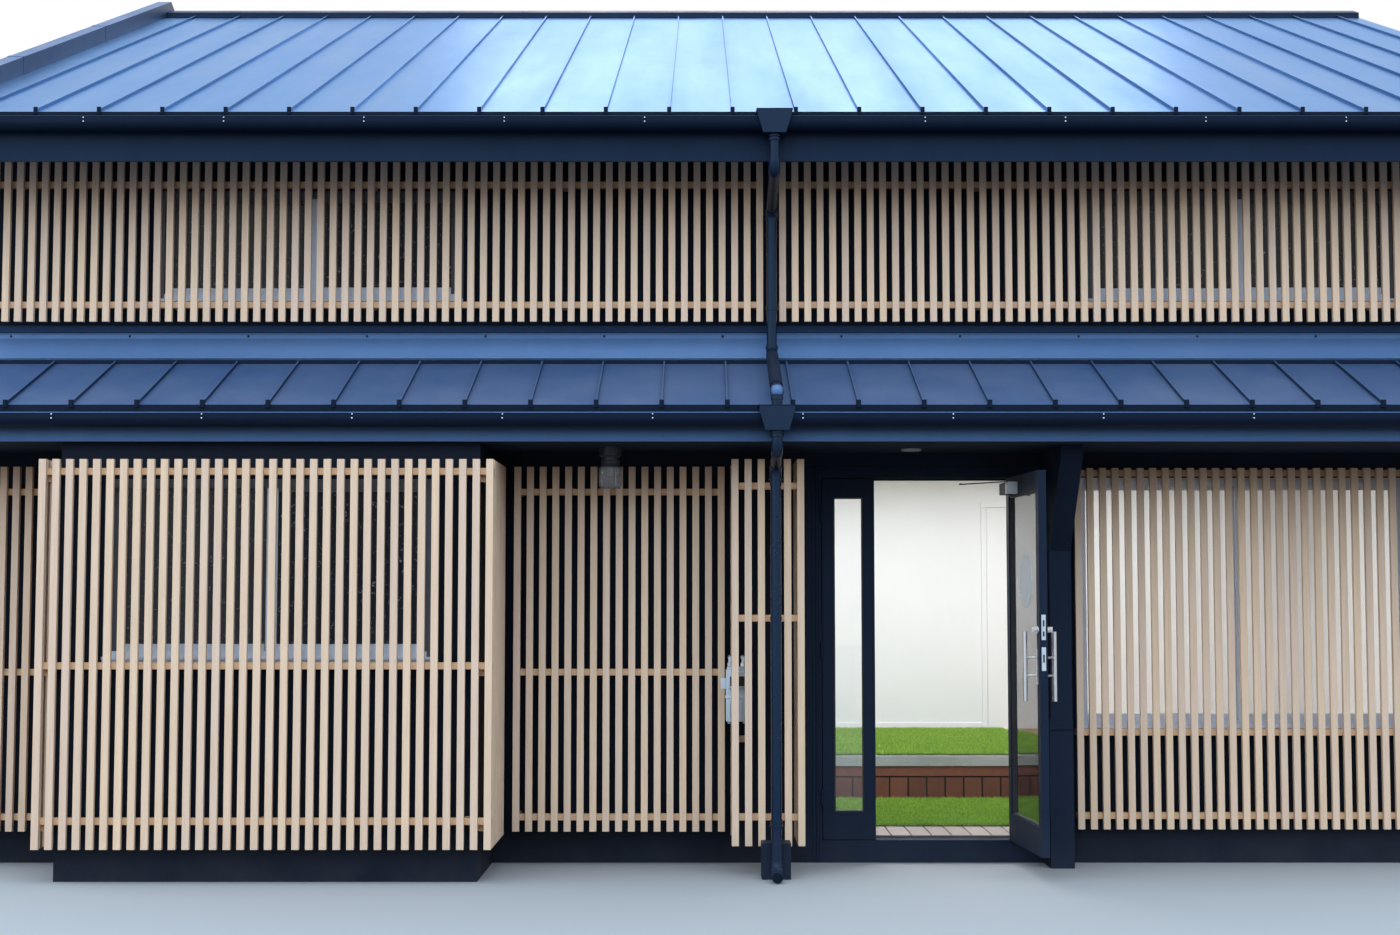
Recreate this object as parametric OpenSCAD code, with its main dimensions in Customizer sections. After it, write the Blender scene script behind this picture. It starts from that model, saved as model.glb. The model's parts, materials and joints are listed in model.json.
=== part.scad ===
// Machiya townhouse, two storeys, with timber lattices in front of dark walls.
// X runs along the street front, +Y runs from the street to the back, Z is up.
// The origin is on the lowest ground, at the plan centre of the four walls.

/* [House] */
// Width over the outer faces of the two party walls
house_w = 9820; // [9600:10:11000]
// Depth over the outer faces of the front and rear walls
house_d = 8860; // [8000:10:10600]
// Thickness of the outer walls
wall_t = 150; // [120:5:180]
// Height of the upper floor's underside
storey_h = 2700; // [2640:10:2760]
// Thickness of the upper floor
floor_t = 150; // [100:5:200]
// Height of the entry floor
entry_z = 137; // [130:1:150]
// Height of the raised floor
raised_z = 447; // [380:1:520]
// Thickness of the raised floor
raised_t = 60; // [40:5:80]
// Depth of the entry floor behind the front wall
entry_d = 2100; // [1500:10:2600]
// Depth of the front room behind the front wall
room_d = 4950; // [4000:10:5600]
// Thickness of the inner wall behind the front room
inner_t = 100; // [80:5:130]

/* [Main roof] */
// Height of the roofing at the eaves
eave_z = 4350; // [4300:10:4450]
// Rise of the roof for each unit of depth
roof_slope = 0.41; // [0.3:0.01:0.5]
// Upright thickness of the roof, rafters included
roof_t = 150; // [120:5:170]
// Reach of the eaves beyond the front and rear walls
eave_out = 630; // [500:10:760]
// Reach of the roof beyond the party walls
verge_out = 90; // [60:5:140]
// Thickness of the roof's thin lip over the gutter
lip_t = 40; // [30:5:60]
// Depth of the thin lip
lip_d = 60; // [40:5:80]
// Distance from the eave to the fascia
fascia_in = 30; // [20:1:40]
// Spacing of the standing seams
seam_pitch = 364; // [300:1:455]
// Thickness of a standing seam
seam_w = 12; // [8:1:20]
// Height of a standing seam
seam_h = 28; // [20:1:40]
// Width of the ridge cap to each side of the ridge
ridge_cap_w = 140; // [100:5:200]
// Height of the ridge cap over the roofing
ridge_cap_h = 45; // [35:1:70]
// Width of the raised coping on the left verge
coping_w = 110; // [90:5:150]
// Height of the raised coping on the left verge
coping_h = 120; // [80:5:160]
// Height of the fascia boards under the main eaves
fascia_h = 250; // [200:5:280]
// Thickness of the fascia boards
fascia_t = 30; // [20:1:40]

/* [Pent roof] */
// Height of the pent roofing at its eave
pent_z = 2632; // [2600:2:2680]
// Rise of the pent roof for each unit of depth
pent_slope = 0.4; // [0.3:0.01:0.42]
// Reach of the pent roof beyond the front wall
pent_out = 910; // [860:10:960]
// Upright thickness of the pent roof
pent_t = 45; // [35:1:60]
// Height of the soffit under the pent roof
soffit_z = 2432; // [2420:2:2460]
// Thickness of the soffit board
soffit_t = 18; // [12:1:24]
// Distance from the pent eave to the pent fascia
pent_fascia_in = 40; // [30:5:60]
// Reach of the flashing over the pent roof
flashing_out = 90; // [70:5:120]
// Height of the sloping flashing over the pent roof
flashing_h = 155; // [120:5:180]
// Height of the flashing's upright fold against the wall
flashing_fold = 30; // [20:1:40]
// Thickness of the flashing sheet
flashing_t = 8; // [6:1:12]

/* [Gutters and pipes] */
// Outer radius of the gutters
gutter_r = 50; // [42:1:55]
// Height of a gutter's straight upper wall
gutter_wall = 25; // [10:1:30]
// Thickness of the gutter and hopper walls
gutter_t = 3; // [2:0.5:4]
// Distance between the brackets behind a gutter
bracket_run = 800; // [500:10:900]
// Distance from a gutter's end to its first bracket
bracket_first = 219; // [120:1:300]
// Outer diameter of the downpipes
pipe_d = 60; // [50:1:76]
// Number of the meter lattice's slat that the downpipe stands in front of
pipe_slat = 4; // [3:1:5]
// Distance of the upper downpipe's axis from the wall
upper_pipe_off = 200; // [190:5:230]
// Distance of the lower downpipe's axis from the meter lattice's face
lower_pipe_off = 190; // [170:5:200]
// Width of a hopper at its top
hopper_w = 195; // [170:5:220]
// Width of a hopper at its foot
hopper_foot = 130; // [110:5:150]
// Height of a hopper
hopper_h = 133; // [120:1:150]
// Depth of a hopper from front to back
hopper_d = 110; // [90:5:120]
// Radius of the pipe bends, at the pipe's centre
bend_r = 70; // [60:5:90]
// Height at which the upper downpipe turns back to the wall
upper_bend_z = 4005; // [3990:1:4020]
// Drop of the upper downpipe on its way back to the wall
upper_bend_drop = 155; // [140:5:180]
// Height of the downpipe's axis over the pent roofing
pipe_over_pent = 94; // [80:1:100]
// Height at which the lower downpipe turns back to the lattice
lower_bend_z = 2380; // [2370:1:2390]
// Drop of the lower downpipe on its way back to the lattice
lower_bend_drop = 90; // [80:5:110]
// Reach of the downpipe's outlet at the ground
outlet_l = 150; // [140:5:200]
// Width of the block behind the pipe's foot
pier_w = 163; // [120:1:200]
// Height of the block behind the pipe's foot
pier_h = 200; // [150:5:260]

/* [Lattices] */
// Spacing of the lattice slats
slat_pitch = 75; // [65:1:90]
// Width of a slat
slat_w = 40; // [30:1:45]
// Depth of a slat
slat_d = 30; // [20:1:40]
// Height of a rail
rail_h = 38; // [30:1:45]
// Depth of a rail
rail_d = 40; // [30:1:45]
// Distance between the spacers that hold a lattice off its wall
spacer_run = 1200; // [900:10:1500]
// Height of the foot of the long ground lattices
lattice_low = 205; // [180:5:240]
// Height of the head of the long ground lattices
lattice_high = 2335; // [2300:5:2360]
// Distance of the recessed lattice's face from the wall
recess_off = 200; // [150:5:220]
// Distance of the right lattice's face from the wall
right_off = 90; // [85:1:130]
// Distance of the upper lattice's face from the wall
upper_off = 140; // [110:5:160]
// Height of the foot of the upper lattice
upper_low = 3207; // [3180:1:3240]
// Height of the head of the upper lattice
upper_high = 4300; // [4200:5:4380]
// Width of the gap in the upper lattice for the downpipe
upper_gap = 192; // [150:1:240]
// Distance of the recessed lattice's top rail from its head
recess_rail_top = 166; // [100:1:200]
// Height of the recessed lattice's middle rail
recess_rail_mid = 1109; // [1000:1:1200]
// Distance of the recessed lattice's bottom rail from its foot
recess_rail_low = 61; // [40:1:150]
// Distance of the right lattice's top rail from its head
right_rail_top = 47; // [45:1:200]
// Height of the right lattice's middle rail
right_rail_mid = 751; // [700:1:1200]
// Distance of the right lattice's bottom rail from its foot
right_rail_low = 57; // [40:1:150]
// Distance of the upper lattice's top rail from its head
upper_rail_top = 282; // [200:1:300]
// Distance of the upper lattice's bottom rail from its foot
upper_rail_low = 85; // [60:1:150]

/* [Bay] */
// Distance from the left end of the house to the bay
bay_x = 875; // [850:5:950]
// Width of the bay
bay_w = 2340; // [2300:5:2440]
// Reach of the bay from the front wall
bay_out = 800; // [760:5:820]
// Thickness of the bay's walls
bay_t = 100; // [80:5:120]
// Distance from the bay's front to the face of its lattice
bay_lattice_off = 125; // [115:5:135]
// Height of the foot of the bay lattice
bay_low = 190; // [150:5:230]
// Height of the head of the bay lattice
bay_high = 2330; // [2280:5:2360]
// Distance of the bay lattice's top rail from its head
bay_rail_top = 86; // [60:1:150]
// Height of the bay lattice's middle rail
bay_rail_mid = 1170; // [1100:1:1200]
// Distance of the bay lattice's bottom rail from its foot
bay_rail_low = 131; // [60:1:180]
// Height of the bay window's sill
bay_sill = 1225; // [1100:5:1300]
// Width of the bay window
bay_window_w = 1820; // [1500:10:1900]
// Height of the bay window
bay_window_h = 990; // [900:10:1040]

/* [Meter lattice] */
// Distance from the left end of the house to the meter lattice
meter_x = 4625; // [4600:5:4660]
// Number of slats in the meter lattice
meter_slats = 6; // [5:1:6]
// Distance of the meter lattice's face from the wall
meter_off = 560; // [500:5:600]
// Height of the foot of the meter lattice
meter_low = 165; // [120:5:200]
// Height of the head of the meter lattice
meter_high = 2355; // [2320:5:2370]
// Distance of the meter lattice's top rail from its head
meter_rail_top = 171; // [120:1:200]
// Height of the meter lattice's middle rail
meter_rail_mid = 1429; // [1400:1:1500]
// Distance of the meter lattice's bottom rail from its foot
meter_rail_low = 140; // [100:1:180]

/* [Door] */
// Distance from the left end of the house to the door frame
door_x = 5085; // [5060:5:5100]
// Width of the door frame
door_frame_w = 1390; // [1360:5:1420]
// Width of the frame's left jamb
left_jamb = 85; // [70:5:100]
// Width of the frame's right jamb
right_jamb = 145; // [120:5:160]
// Width of the side leaf
side_leaf_w = 313; // [280:1:330]
// Height of the top of the sill
sill_z = 130; // [110:1:137]
// Height of the underside of the frame's head
head_z = 2282; // [2240:1:2300]
// Height of the top of the frame's head
frame_top = 2365; // [2350:5:2380]
// Depth of the door frame
frame_d = 110; // [90:5:130]
// Width of the stops behind the closed leaves
stop_w = 12; // [8:1:14]
// Thickness of the door leaves
leaf_t = 45; // [40:1:50]
// Width of the stiles of the door leaves
stile_w = 68; // [60:1:80]
// Height of the top rail of the door leaves
top_rail = 110; // [90:1:130]
// Height of the bottom rail of the door leaves
bottom_rail = 160; // [140:1:200]
// Gap around the moving leaves
leaf_gap = 7; // [6:0.5:9]
// Angle at which the door stands open
door_open = 93.5; // [0:0.5:95]
// Distance of the hinge pins in front of the leaves
pin_out = 10; // [9:0.5:14]
// Radius of the hinge knuckles
knuckle_r = 8; // [6:0.5:8]
// Thickness of the glass in the doors and windows
glass_t = 6; // [4:1:8]
// Length of the pull bars
pull_l = 388; // [300:1:450]
// Height of the middle of the pull bars
pull_z = 1181; // [1050:1:1250]
// Diameter of the pull bars
pull_d = 27; // [20:1:32]
// Length of the closer's arm
arm_l = 380; // [340:5:400]

/* [Door post] */
// Distance from the left end of the house to the door post
post_x = 6490; // [6478:1:6510]
// Width of the door post
post_w = 125; // [100:5:140]
// Reach of the door post's front from the wall
post_out = 250; // [200:5:300]
// Reach of the top of the post's brace from the wall
brace_out = 665; // [560:5:720]
// Height of the foot of the brace
brace_z = 1838; // [1700:5:1950]

/* [Windows] */
// Width of the border of a window's frame
frame_w = 28; // [20:1:35]
// Depth of a window's frame
frame_depth = 70; // [64:1:80]
// Width of a sash's border
sash_w = 34; // [25:1:40]
// Distance that window frames stand out of the wall
window_proud = 10; // [5:1:15]
// Distance from the left end of the house to the ground floor's right window
right_window_x = 6695; // [6680:5:6720]
// Width of the ground floor's right window
right_window_w = 1940; // [1700:10:2000]
// Height of the sill of the ground floor's right window
right_window_sill = 795; // [700:5:900]
// Height of the ground floor's right window
right_window_h = 1475; // [1300:5:1500]
// Distance from the left end of the house to the upper left window
upper_left_x = 1185; // [1000:5:1400]
// Distance from the left end of the house to the upper right window
upper_right_x = 6795; // [6600:5:7000]
// Width of the upper windows
upper_window_w = 1820; // [1500:10:1900]
// Height of the sill of the upper windows
upper_sill = 3350; // [3300:5:3400]
// Height of the upper windows
upper_window_h = 660; // [600:5:700]
// Height of the sill of the rear ground windows
rear_sill = 1225; // [1000:5:1300]
// Height of the rear ground windows
rear_window_h = 990; // [900:10:1100]

/* [Lamp and meter] */
// Distance from the left end of the house to the porch lamp
lamp_x = 3928; // [3850:5:4000]
// Distance of the porch lamp from the wall
lamp_off = 450; // [400:5:500]
// Diameter of the lamp's glass jar
lamp_d = 133; // [110:1:150]
// Height of the lamp's glass jar
lamp_h = 125; // [100:1:150]
// Height of the underside of the lamp's glass jar
lamp_z = 2190; // [2150:5:2220]
// Diameter of the lamp's cap, above the jar
lamp_cap_d = 114; // [90:1:130]
// Height of the gas meter's underside
gas_z = 840; // [820:5:860]
// Height of the gas meter
gas_h = 325; // [280:5:340]
// Width of the gas meter
gas_w = 195; // [160:5:200]
// Depth of the gas meter
gas_d = 160; // [120:5:170]
// Reach of the gas meter to the left of the lattice before it
gas_out = 60; // [20:1:80]
// Distance of the gas meter's front from the lattice's face
gas_in = 140; // [130:5:160]
// Diameter of the gas meter's pipes
gas_pipe_d = 28; // [22:1:34]

/* [Hidden] */

// Colours
timber = [0.80, 0.65, 0.47];
navy = [0.09, 0.11, 0.17];
dark_wall = [0.07, 0.08, 0.12];
slate = [0.16, 0.19, 0.27];
roof_blue = [0.42, 0.50, 0.64];
plaster = [0.93, 0.93, 0.90];
silver = [0.72, 0.74, 0.76];
concrete = [0.62, 0.61, 0.58];
brick = [0.42, 0.20, 0.14];

// Places of the outer faces of the walls and of their inner faces
left = -house_w / 2;
right = house_w / 2;
front = -house_d / 2;
back = house_d / 2;
in_left = left + wall_t;
in_right = right - wall_t;
in_front = front + wall_t;
in_back = back - wall_t;
sleeper_w = 120;
riser_t = 110;
// How far the raised floor's edge stands out over the riser
nosing_out = 10;
// More than any cut needs to pass through a wall
past = 1;

// Main roof
eave_y = front - eave_out;
function roof_top(y) = eave_z + roof_slope * (min(y, -y) - eave_y);
function roof_under(y) = roof_top(y) - roof_t;
roof_left = left - verge_out;
roof_right = right + verge_out;
roof_w = roof_right - roof_left;
seam_count = floor((roof_w - seam_pitch / 2 - coping_w - 2 * seam_w) / seam_pitch) + 1;
seam_xs = [for (i = [seam_count - 1:-1:0]) roof_right - seam_pitch / 2 - i * seam_pitch];
fascia_y = eave_y + fascia_in;
fascia_low = roof_top(fascia_y) - lip_t - fascia_h;

// Pent roof
pent_y = front - pent_out;
function pent_top(y) = pent_z + pent_slope * (y - pent_y);
function pent_under(y) = pent_top(y) - pent_t;
pent_fascia_y = pent_y + pent_fascia_in;
// Distance from the right end of the pent roof to its first seam
pent_seam_first = 0.85 * seam_pitch;
pent_seam_count = floor((house_w - pent_seam_first - seam_w) / seam_pitch) + 1;
pent_seam_xs = [for (i = [pent_seam_count - 1:-1:0]) right - pent_seam_first - i * seam_pitch];
flashing_foot = front - flashing_out;

// Gutters: a half round below a straight wall, with the rim just under the eave
gutter_gap = 20;
rim_gap = 5;
upper_gutter_y = fascia_y - gutter_gap - gutter_r;
upper_rim = roof_top(eave_y) - lip_t - rim_gap;
pent_gutter_y = pent_fascia_y - gutter_gap - gutter_r;
pent_rim = pent_under(pent_y) - rim_gap;
bracket_w = 24;
bracket_h = 25;

// Place of the meter lattice, which the downpipe stands in front of
lattice_t = slat_d + rail_d;
meter_left = left + meter_x;
meter_w = (meter_slats - 1) * slat_pitch + slat_w;
meter_right = meter_left + meter_w;
meter_y = front - meter_off;

// Downpipe
pipe_r = pipe_d / 2;
down_x = meter_left + (pipe_slat - 1) * slat_pitch + slat_w / 2;
upper_pipe_y = front - upper_pipe_off;
lower_pipe_y = meter_y - lower_pipe_off;
hopper_rise = 35;
upper_hopper_y = eave_y - rim_gap - hopper_d / 2;
pent_hopper_y = pent_y - rim_gap - hopper_d / 2;
hopper_low_upper = upper_rim + hopper_rise - hopper_h;
hopper_low_pent = pent_rim + hopper_rise - hopper_h;
// Share of a hopper's height below its hollow mouth
hopper_floor = 0.4;
// Share of a hopper's height below its upright walls
hopper_neck = 0.8;
// How far a pipe starts inside a hopper's foot, and how far it ends over a hopper's floor
pipe_enter = 10;
pipe_over_floor = 15;
clip_h = 22;
clip_t = 4;
clip_stem_w = 12;
// Clips of the upper downpipe, beside the upper lattice's foot and at its middle
upper_clip_zs = [upper_low + 58, upper_low + 493];
// Gap between the foot's elbow and the ground
foot_gap = 0.5;
foot_z = pipe_r + clip_t + foot_gap;
upper_path = [
    [upper_hopper_y, hopper_low_upper + pipe_enter], [upper_hopper_y, upper_bend_z],
    [upper_pipe_y, upper_bend_z - upper_bend_drop],
    [upper_pipe_y, pent_top(upper_pipe_y) + pipe_over_pent],
    [pent_hopper_y, pent_top(pent_hopper_y) + pipe_over_pent],
    [pent_hopper_y, hopper_low_pent + hopper_h * hopper_floor + pipe_over_floor]
];
lower_path = [
    [pent_hopper_y, hopper_low_pent + pipe_enter], [pent_hopper_y, lower_bend_z],
    [lower_pipe_y, lower_bend_z - lower_bend_drop],
    [lower_pipe_y, foot_z], [lower_pipe_y - outlet_l, foot_z]
];
outlet_bore = 60;
// How far a pipe's end goes into an elbow
elbow_enter = 12;

// Bay
bay_left = left + bay_x;
bay_right = bay_left + bay_w;
bay_front = front - bay_out;
bay_mid = (bay_left + bay_right) / 2;
// The lattice reaches past both sides of the bay by a lattice's thickness or a little more
bay_slats = ceil((bay_w + 2 * lattice_t - slat_w) / slat_pitch) + 1;
bay_lattice_w = (bay_slats - 1) * slat_pitch + slat_w;
bay_lattice_x = bay_mid - bay_lattice_w / 2;
bay_side_off = (bay_lattice_w - bay_w) / 2;
bay_lattice_y = bay_front - bay_lattice_off;
bay_rails = [bay_high - bay_rail_top, bay_rail_mid, bay_low + bay_rail_low];
// Distance of the outer spacers from the bay's edges
bay_spacer_in = 30;
bay_window_x = bay_mid - bay_window_w / 2;

// Recessed lattice, in two panels to the left and right of the bay
recess_y = front - recess_off;
// Least gaps between lattices that stand beside each other, and to the ends of the house
lattice_gap = 10;
end_gap = 20;
meter_gap = 35;
recess_right = meter_left - meter_gap;
recess_slats = floor((recess_right - bay_mid - bay_lattice_w / 2 - lattice_gap - slat_w)
                     / slat_pitch) + 1;
recess_x = recess_right - slat_w - (recess_slats - 1) * slat_pitch;
end_x = left + end_gap;
end_slats = floor((bay_lattice_x - lattice_gap - end_x - slat_w) / slat_pitch) + 1;
recess_rails = [lattice_high - recess_rail_top, recess_rail_mid, lattice_low + recess_rail_low];

// Rails of the meter lattice, with two short ones more on its sides
meter_rails = [meter_high - meter_rail_top, meter_rail_mid, meter_low + meter_rail_low];
meter_side_extra = [1915, 730];
meter_side_rails = concat([for (z = meter_rails) z - rail_h], meter_side_extra);

// Right lattice
post_gap = 56;
right_first = post_x + post_w + post_gap;
right_slats = floor((house_w - right_first - slat_w - end_gap) / slat_pitch) + 1;
right_y = front - right_off;
right_rails = [lattice_high - right_rail_top, right_rail_mid, lattice_low + right_rail_low];

// Upper lattice, in two panels beside the downpipe
upper_y = front - upper_off;
upper_rails = [upper_high - upper_rail_top, upper_low + upper_rail_low];
upper_side_gap = 45;
function upper_slats(room) = floor((room - upper_gap / 2 - upper_side_gap - slat_w) / slat_pitch) + 1;
upper_left_slats = upper_slats(down_x - left);
upper_right_slats = upper_slats(right - down_x);

// Door
frame_left = left + door_x;
frame_right = frame_left + door_frame_w;
hinge_x = frame_right - right_jamb;
side_hinge_x = frame_left + left_jamb;
hinge_y = front - pin_out;
hinge_gap = 5;
leaf_low = sill_z + 6;
leaf_high = head_z - leaf_gap;
leaf_h = leaf_high - leaf_low;
leaf_w = hinge_x - side_hinge_x - side_leaf_w - leaf_gap - 2 * hinge_gap;
hinge_zs = [leaf_low + 200, leaf_low + leaf_h / 2, leaf_high - 260];
stop_y = front + leaf_t + leaf_gap;
knuckle_h = 50;
knuckle_gap = 0.3;
// A hinge plate starts this far from the line through the pin
plate_in = 1;
plate_l = 40;
plate_t = 3;
pull_back = 100;
pull_off = 60;
pull_plate_h = 195;
pull_plate_w = 20;
pull_plate_t = 8;
// The bar stands this far beside its plate, on two slanting arms that start inside the plate
pull_side = 52;
pull_seat = 5.5;
pull_reach = pull_off - pull_seat;
pull_arm_gap = 100;
pull_arm_r = 7;
closer_l = 230;
closer_h = 68;
closer_t = 58;
closer_start = 90;
closer_top = leaf_high - 36;
spindle_r = 9;
spindle_s = 200;
spindle_off = pin_out + leaf_t + closer_t / 2;
arm_z = closer_top + 5;
arm_pin_r = 6;
arm_pin_h = 4;
arm_t = 6;
arm_w = 20;
// Where the arm's end runs, behind the closed leaf
track_y = hinge_y + spindle_off + 5;
// Spindle on the open door
spindle_x = hinge_x - spindle_s * cos(door_open) - spindle_off * sin(door_open);
spindle_y = hinge_y - spindle_s * sin(door_open) + spindle_off * cos(door_open);
arm_angle = asin((track_y - spindle_y) / arm_l);

// Door post
post_left = left + post_x;
sleeve_z = 794;
sleeve_t = 12;

// Place and thickness of the sashes, one track behind the other
sash_in = 6;
sash_run = 30;
sash_t = 28;

// Windows, as [left, sill, width, height, outer face]
right_window = [left + right_window_x, right_window_sill, right_window_w, right_window_h, front];
bay_window = [bay_window_x, bay_sill, bay_window_w, bay_window_h, bay_front];
upper_windows = [for (x = [upper_left_x, upper_right_x])
    [left + x, upper_sill, upper_window_w, upper_window_h, front]];
// Rear windows stand opposite the upper front ones, on both storeys
rear_windows_at = [for (x = [upper_left_x, upper_right_x], s = [0, 1])
    [left + x, s == 0 ? rear_sill : upper_sill, upper_window_w,
     s == 0 ? rear_window_h : upper_window_h, 0]];
// Gap between the panels of a lattice where they meet at a corner
corner_gap = 0.5;

// A box from its ranges along X, Y and Z
module block(x, y, z) {
    translate([x[0], y[0], z[0]]) cube([x[1] - x[0], y[1] - y[0], z[1] - z[0]]);
}

// A profile drawn in Y and Z, run along X
module run_x(x0, x1) {
    translate([x0, 0, 0]) rotate([90, 0, 90]) linear_extrude(x1 - x0) children();
}

// A profile drawn in X and Z, run along Y
module run_y(y0, y1) {
    translate([0, y1, 0]) rotate([90, 0, 0]) linear_extrude(y1 - y0) children();
}

// The hole of a window through a wall
module window_hole(w, thick) {
    block([w[0], w[0] + w[2]], [w[4] - past, w[4] + thick + past], [w[1], w[1] + w[3]]);
}

// One border around an opening: outer ranges in X and Z, and the border's width
module border(x, y, z, b) {
    difference() {
        block(x, y, z);
        block([x[0] + b, x[1] - b], [y[0] - past, y[1] + past], [z[0] + b, z[1] - b]);
    }
}

// Two sliding sashes, one behind the other, that lap at the middle
function sash_y(w, i) = w[4] - window_proud + sash_in + i * sash_run;
function sash_x(w, i) = let (mid = w[0] + w[2] / 2)
    i == 0 ? [mid - sash_w / 2, w[0] + w[2] - frame_w] : [w[0] + frame_w, mid + sash_w / 2];

module window_unit(w) {
    border([w[0], w[0] + w[2]], [w[4] - window_proud, w[4] - window_proud + frame_depth],
           [w[1], w[1] + w[3]], frame_w);
    for (i = [0, 1])
        border(sash_x(w, i), [sash_y(w, i), sash_y(w, i) + sash_t],
               [w[1] + frame_w, w[1] + w[3] - frame_w], sash_w);
}

module window_panes(w) {
    for (i = [0, 1]) {
        x = sash_x(w, i);
        y = sash_y(w, i) + sash_t / 2;
        block([x[0] + sash_w, x[1] - sash_w], [y - glass_t / 2, y + glass_t / 2],
              [w[1] + frame_w + sash_w, w[1] + w[3] - frame_w - sash_w]);
    }
}

// Turns a window at the plane Y = 0 to face the rear
module at_rear() {
    translate([0, back, 0]) mirror([0, 1, 0]) children();
}

// A flat lattice: slats in front, rails behind them, spacers back to the wall
module lattice(x, y, low, high, count, rails, off, inset = 0) {
    for (i = [0:count - 1])
        block([x + i * slat_pitch, x + i * slat_pitch + slat_w], [y, y + slat_d], [low, high]);
    w = (count - 1) * slat_pitch + slat_w;
    spacers = max(1, round(w / spacer_run));
    step = (w - 2 * inset - rail_h) / spacers;
    for (z = rails) {
        block([x, x + w], [y + slat_d, y + lattice_t], [z, z + rail_h]);
        if (off > lattice_t)
            for (i = [0:spacers])
                translate([x + inset + i * step, y + lattice_t, z])
                    cube([rail_h, off - lattice_t, rail_h]);
    }
}

module entry_floor() {
    color(concrete)
        linear_extrude(entry_z) polygon([
            [in_left, in_front], [bay_left + bay_t, in_front], [bay_left + bay_t, bay_front + bay_t],
            [bay_right - bay_t, bay_front + bay_t], [bay_right - bay_t, in_front],
            [in_right, in_front], [in_right, in_front + entry_d], [in_left, in_front + entry_d]
        ]);
}

module step_riser() {
    color(brick)
        block([in_left, in_right], [in_front + entry_d, in_front + entry_d + riser_t],
              [0, raised_z - raised_t]);
}

module raised_floor() {
    color(timber) {
        block([in_left, in_right], [in_front + entry_d - nosing_out, in_back],
              [raised_z - raised_t, raised_z]);
        // Sleepers that carry the floor behind the riser, the middle one below the ridge
        for (y = [-sleeper_w / 2, in_front + room_d, in_back - sleeper_w])
            block([in_left, in_right], [y, y + sleeper_w], [0, raised_z - raised_t]);
    }
}

module upper_floor() {
    color(plaster)
        block([in_left, in_right], [in_front, in_back], [storey_h, storey_h + floor_t]);
}

module front_wall_left() {
    color(dark_wall) difference() {
        block([in_left, frame_left], [front, in_front], [0, storey_h]);
        block([bay_left + bay_t, bay_right - bay_t], [front - past, in_front + past],
              [-past, soffit_z]);
    }
}

module front_wall_over_door() {
    color(dark_wall) block([frame_left, frame_right], [front, in_front], [frame_top, storey_h]);
}

module front_wall_right() {
    color(dark_wall) difference() {
        block([frame_right, in_right], [front, in_front], [0, storey_h]);
        window_hole(right_window, wall_t);
    }
}

module upper_front_wall() {
    color(dark_wall) difference() {
        run_x(in_left, in_right) polygon([
            [front, storey_h], [in_front, storey_h],
            [in_front, roof_under(in_front)], [front, roof_under(front)]
        ]);
        for (w = upper_windows) window_hole(w, wall_t);
    }
}

module rear_wall() {
    color(dark_wall) difference() {
        run_x(in_left, in_right) polygon([
            [back, 0], [back, roof_under(back)], [in_back, roof_under(in_back)], [in_back, 0]
        ]);
        for (w = rear_windows_at) at_rear() window_hole(w, wall_t);
    }
}

module party_wall(x) {
    color(dark_wall) run_x(x, x + wall_t) polygon([
        [front, 0], [back, 0], [back, roof_under(back)], [0, roof_under(0)],
        [front, roof_under(front)]
    ]);
}

module inner_wall() {
    color(plaster)
        block([in_left, in_right], [in_front + room_d, in_front + room_d + inner_t],
              [raised_z, storey_h]);
}

module bay_front_wall() {
    color(dark_wall) difference() {
        block([bay_left, bay_right], [bay_front, bay_front + bay_t], [0, soffit_z]);
        window_hole(bay_window, bay_t);
    }
}

module bay_side_walls() {
    color(dark_wall)
        for (x = [bay_left, bay_right - bay_t])
            block([x, x + bay_t], [bay_front + bay_t, front], [0, soffit_z]);
}

// Half of the main roof: a slab with a thin lip at the eave, and its standing seams
module roof_half() {
    color(roof_blue) {
        run_x(roof_left, roof_right) polygon([
            [eave_y, roof_top(eave_y)], [0, roof_top(0)], [0, roof_under(0)],
            [eave_y + lip_d, roof_under(eave_y + lip_d)],
            [eave_y + lip_d, roof_top(eave_y + lip_d) - lip_t],
            [eave_y, roof_top(eave_y) - lip_t]
        ]);
        for (x = seam_xs)
            run_x(x - seam_w / 2, x + seam_w / 2) polygon([
                [eave_y, roof_top(eave_y)], [-ridge_cap_w, roof_top(-ridge_cap_w)],
                [-ridge_cap_w, roof_top(-ridge_cap_w) + seam_h],
                [eave_y, roof_top(eave_y) + seam_h]
            ]);
    }
}

module roof_front() {
    roof_half();
}

module roof_rear() {
    mirror([0, 1, 0]) roof_half();
}

module ridge_cap() {
    low = roof_top(ridge_cap_w);
    color(slate) run_x(roof_left + coping_w, roof_right) polygon([
        [-ridge_cap_w, low], [0, roof_top(0)], [ridge_cap_w, low],
        [ridge_cap_w, low + ridge_cap_h], [0, roof_top(0) + ridge_cap_h],
        [-ridge_cap_w, low + ridge_cap_h]
    ]);
}

module verge_coping() {
    color(slate) run_x(roof_left, roof_left + coping_w) polygon([
        [eave_y, roof_top(eave_y)], [0, roof_top(0)], [-eave_y, roof_top(eave_y)],
        [-eave_y, roof_top(eave_y) + coping_h], [0, roof_top(0) + coping_h],
        [eave_y, roof_top(eave_y) + coping_h]
    ]);
}

module roof_fascias() {
    color(navy)
        for (side = [0, 1])
            mirror([0, side, 0]) run_x(roof_left, roof_right) polygon([
                [fascia_y, fascia_low], [fascia_y + fascia_t, fascia_low],
                [fascia_y + fascia_t, roof_top(fascia_y + fascia_t) - lip_t],
                [fascia_y, roof_top(fascia_y) - lip_t]
            ]);
}

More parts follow.
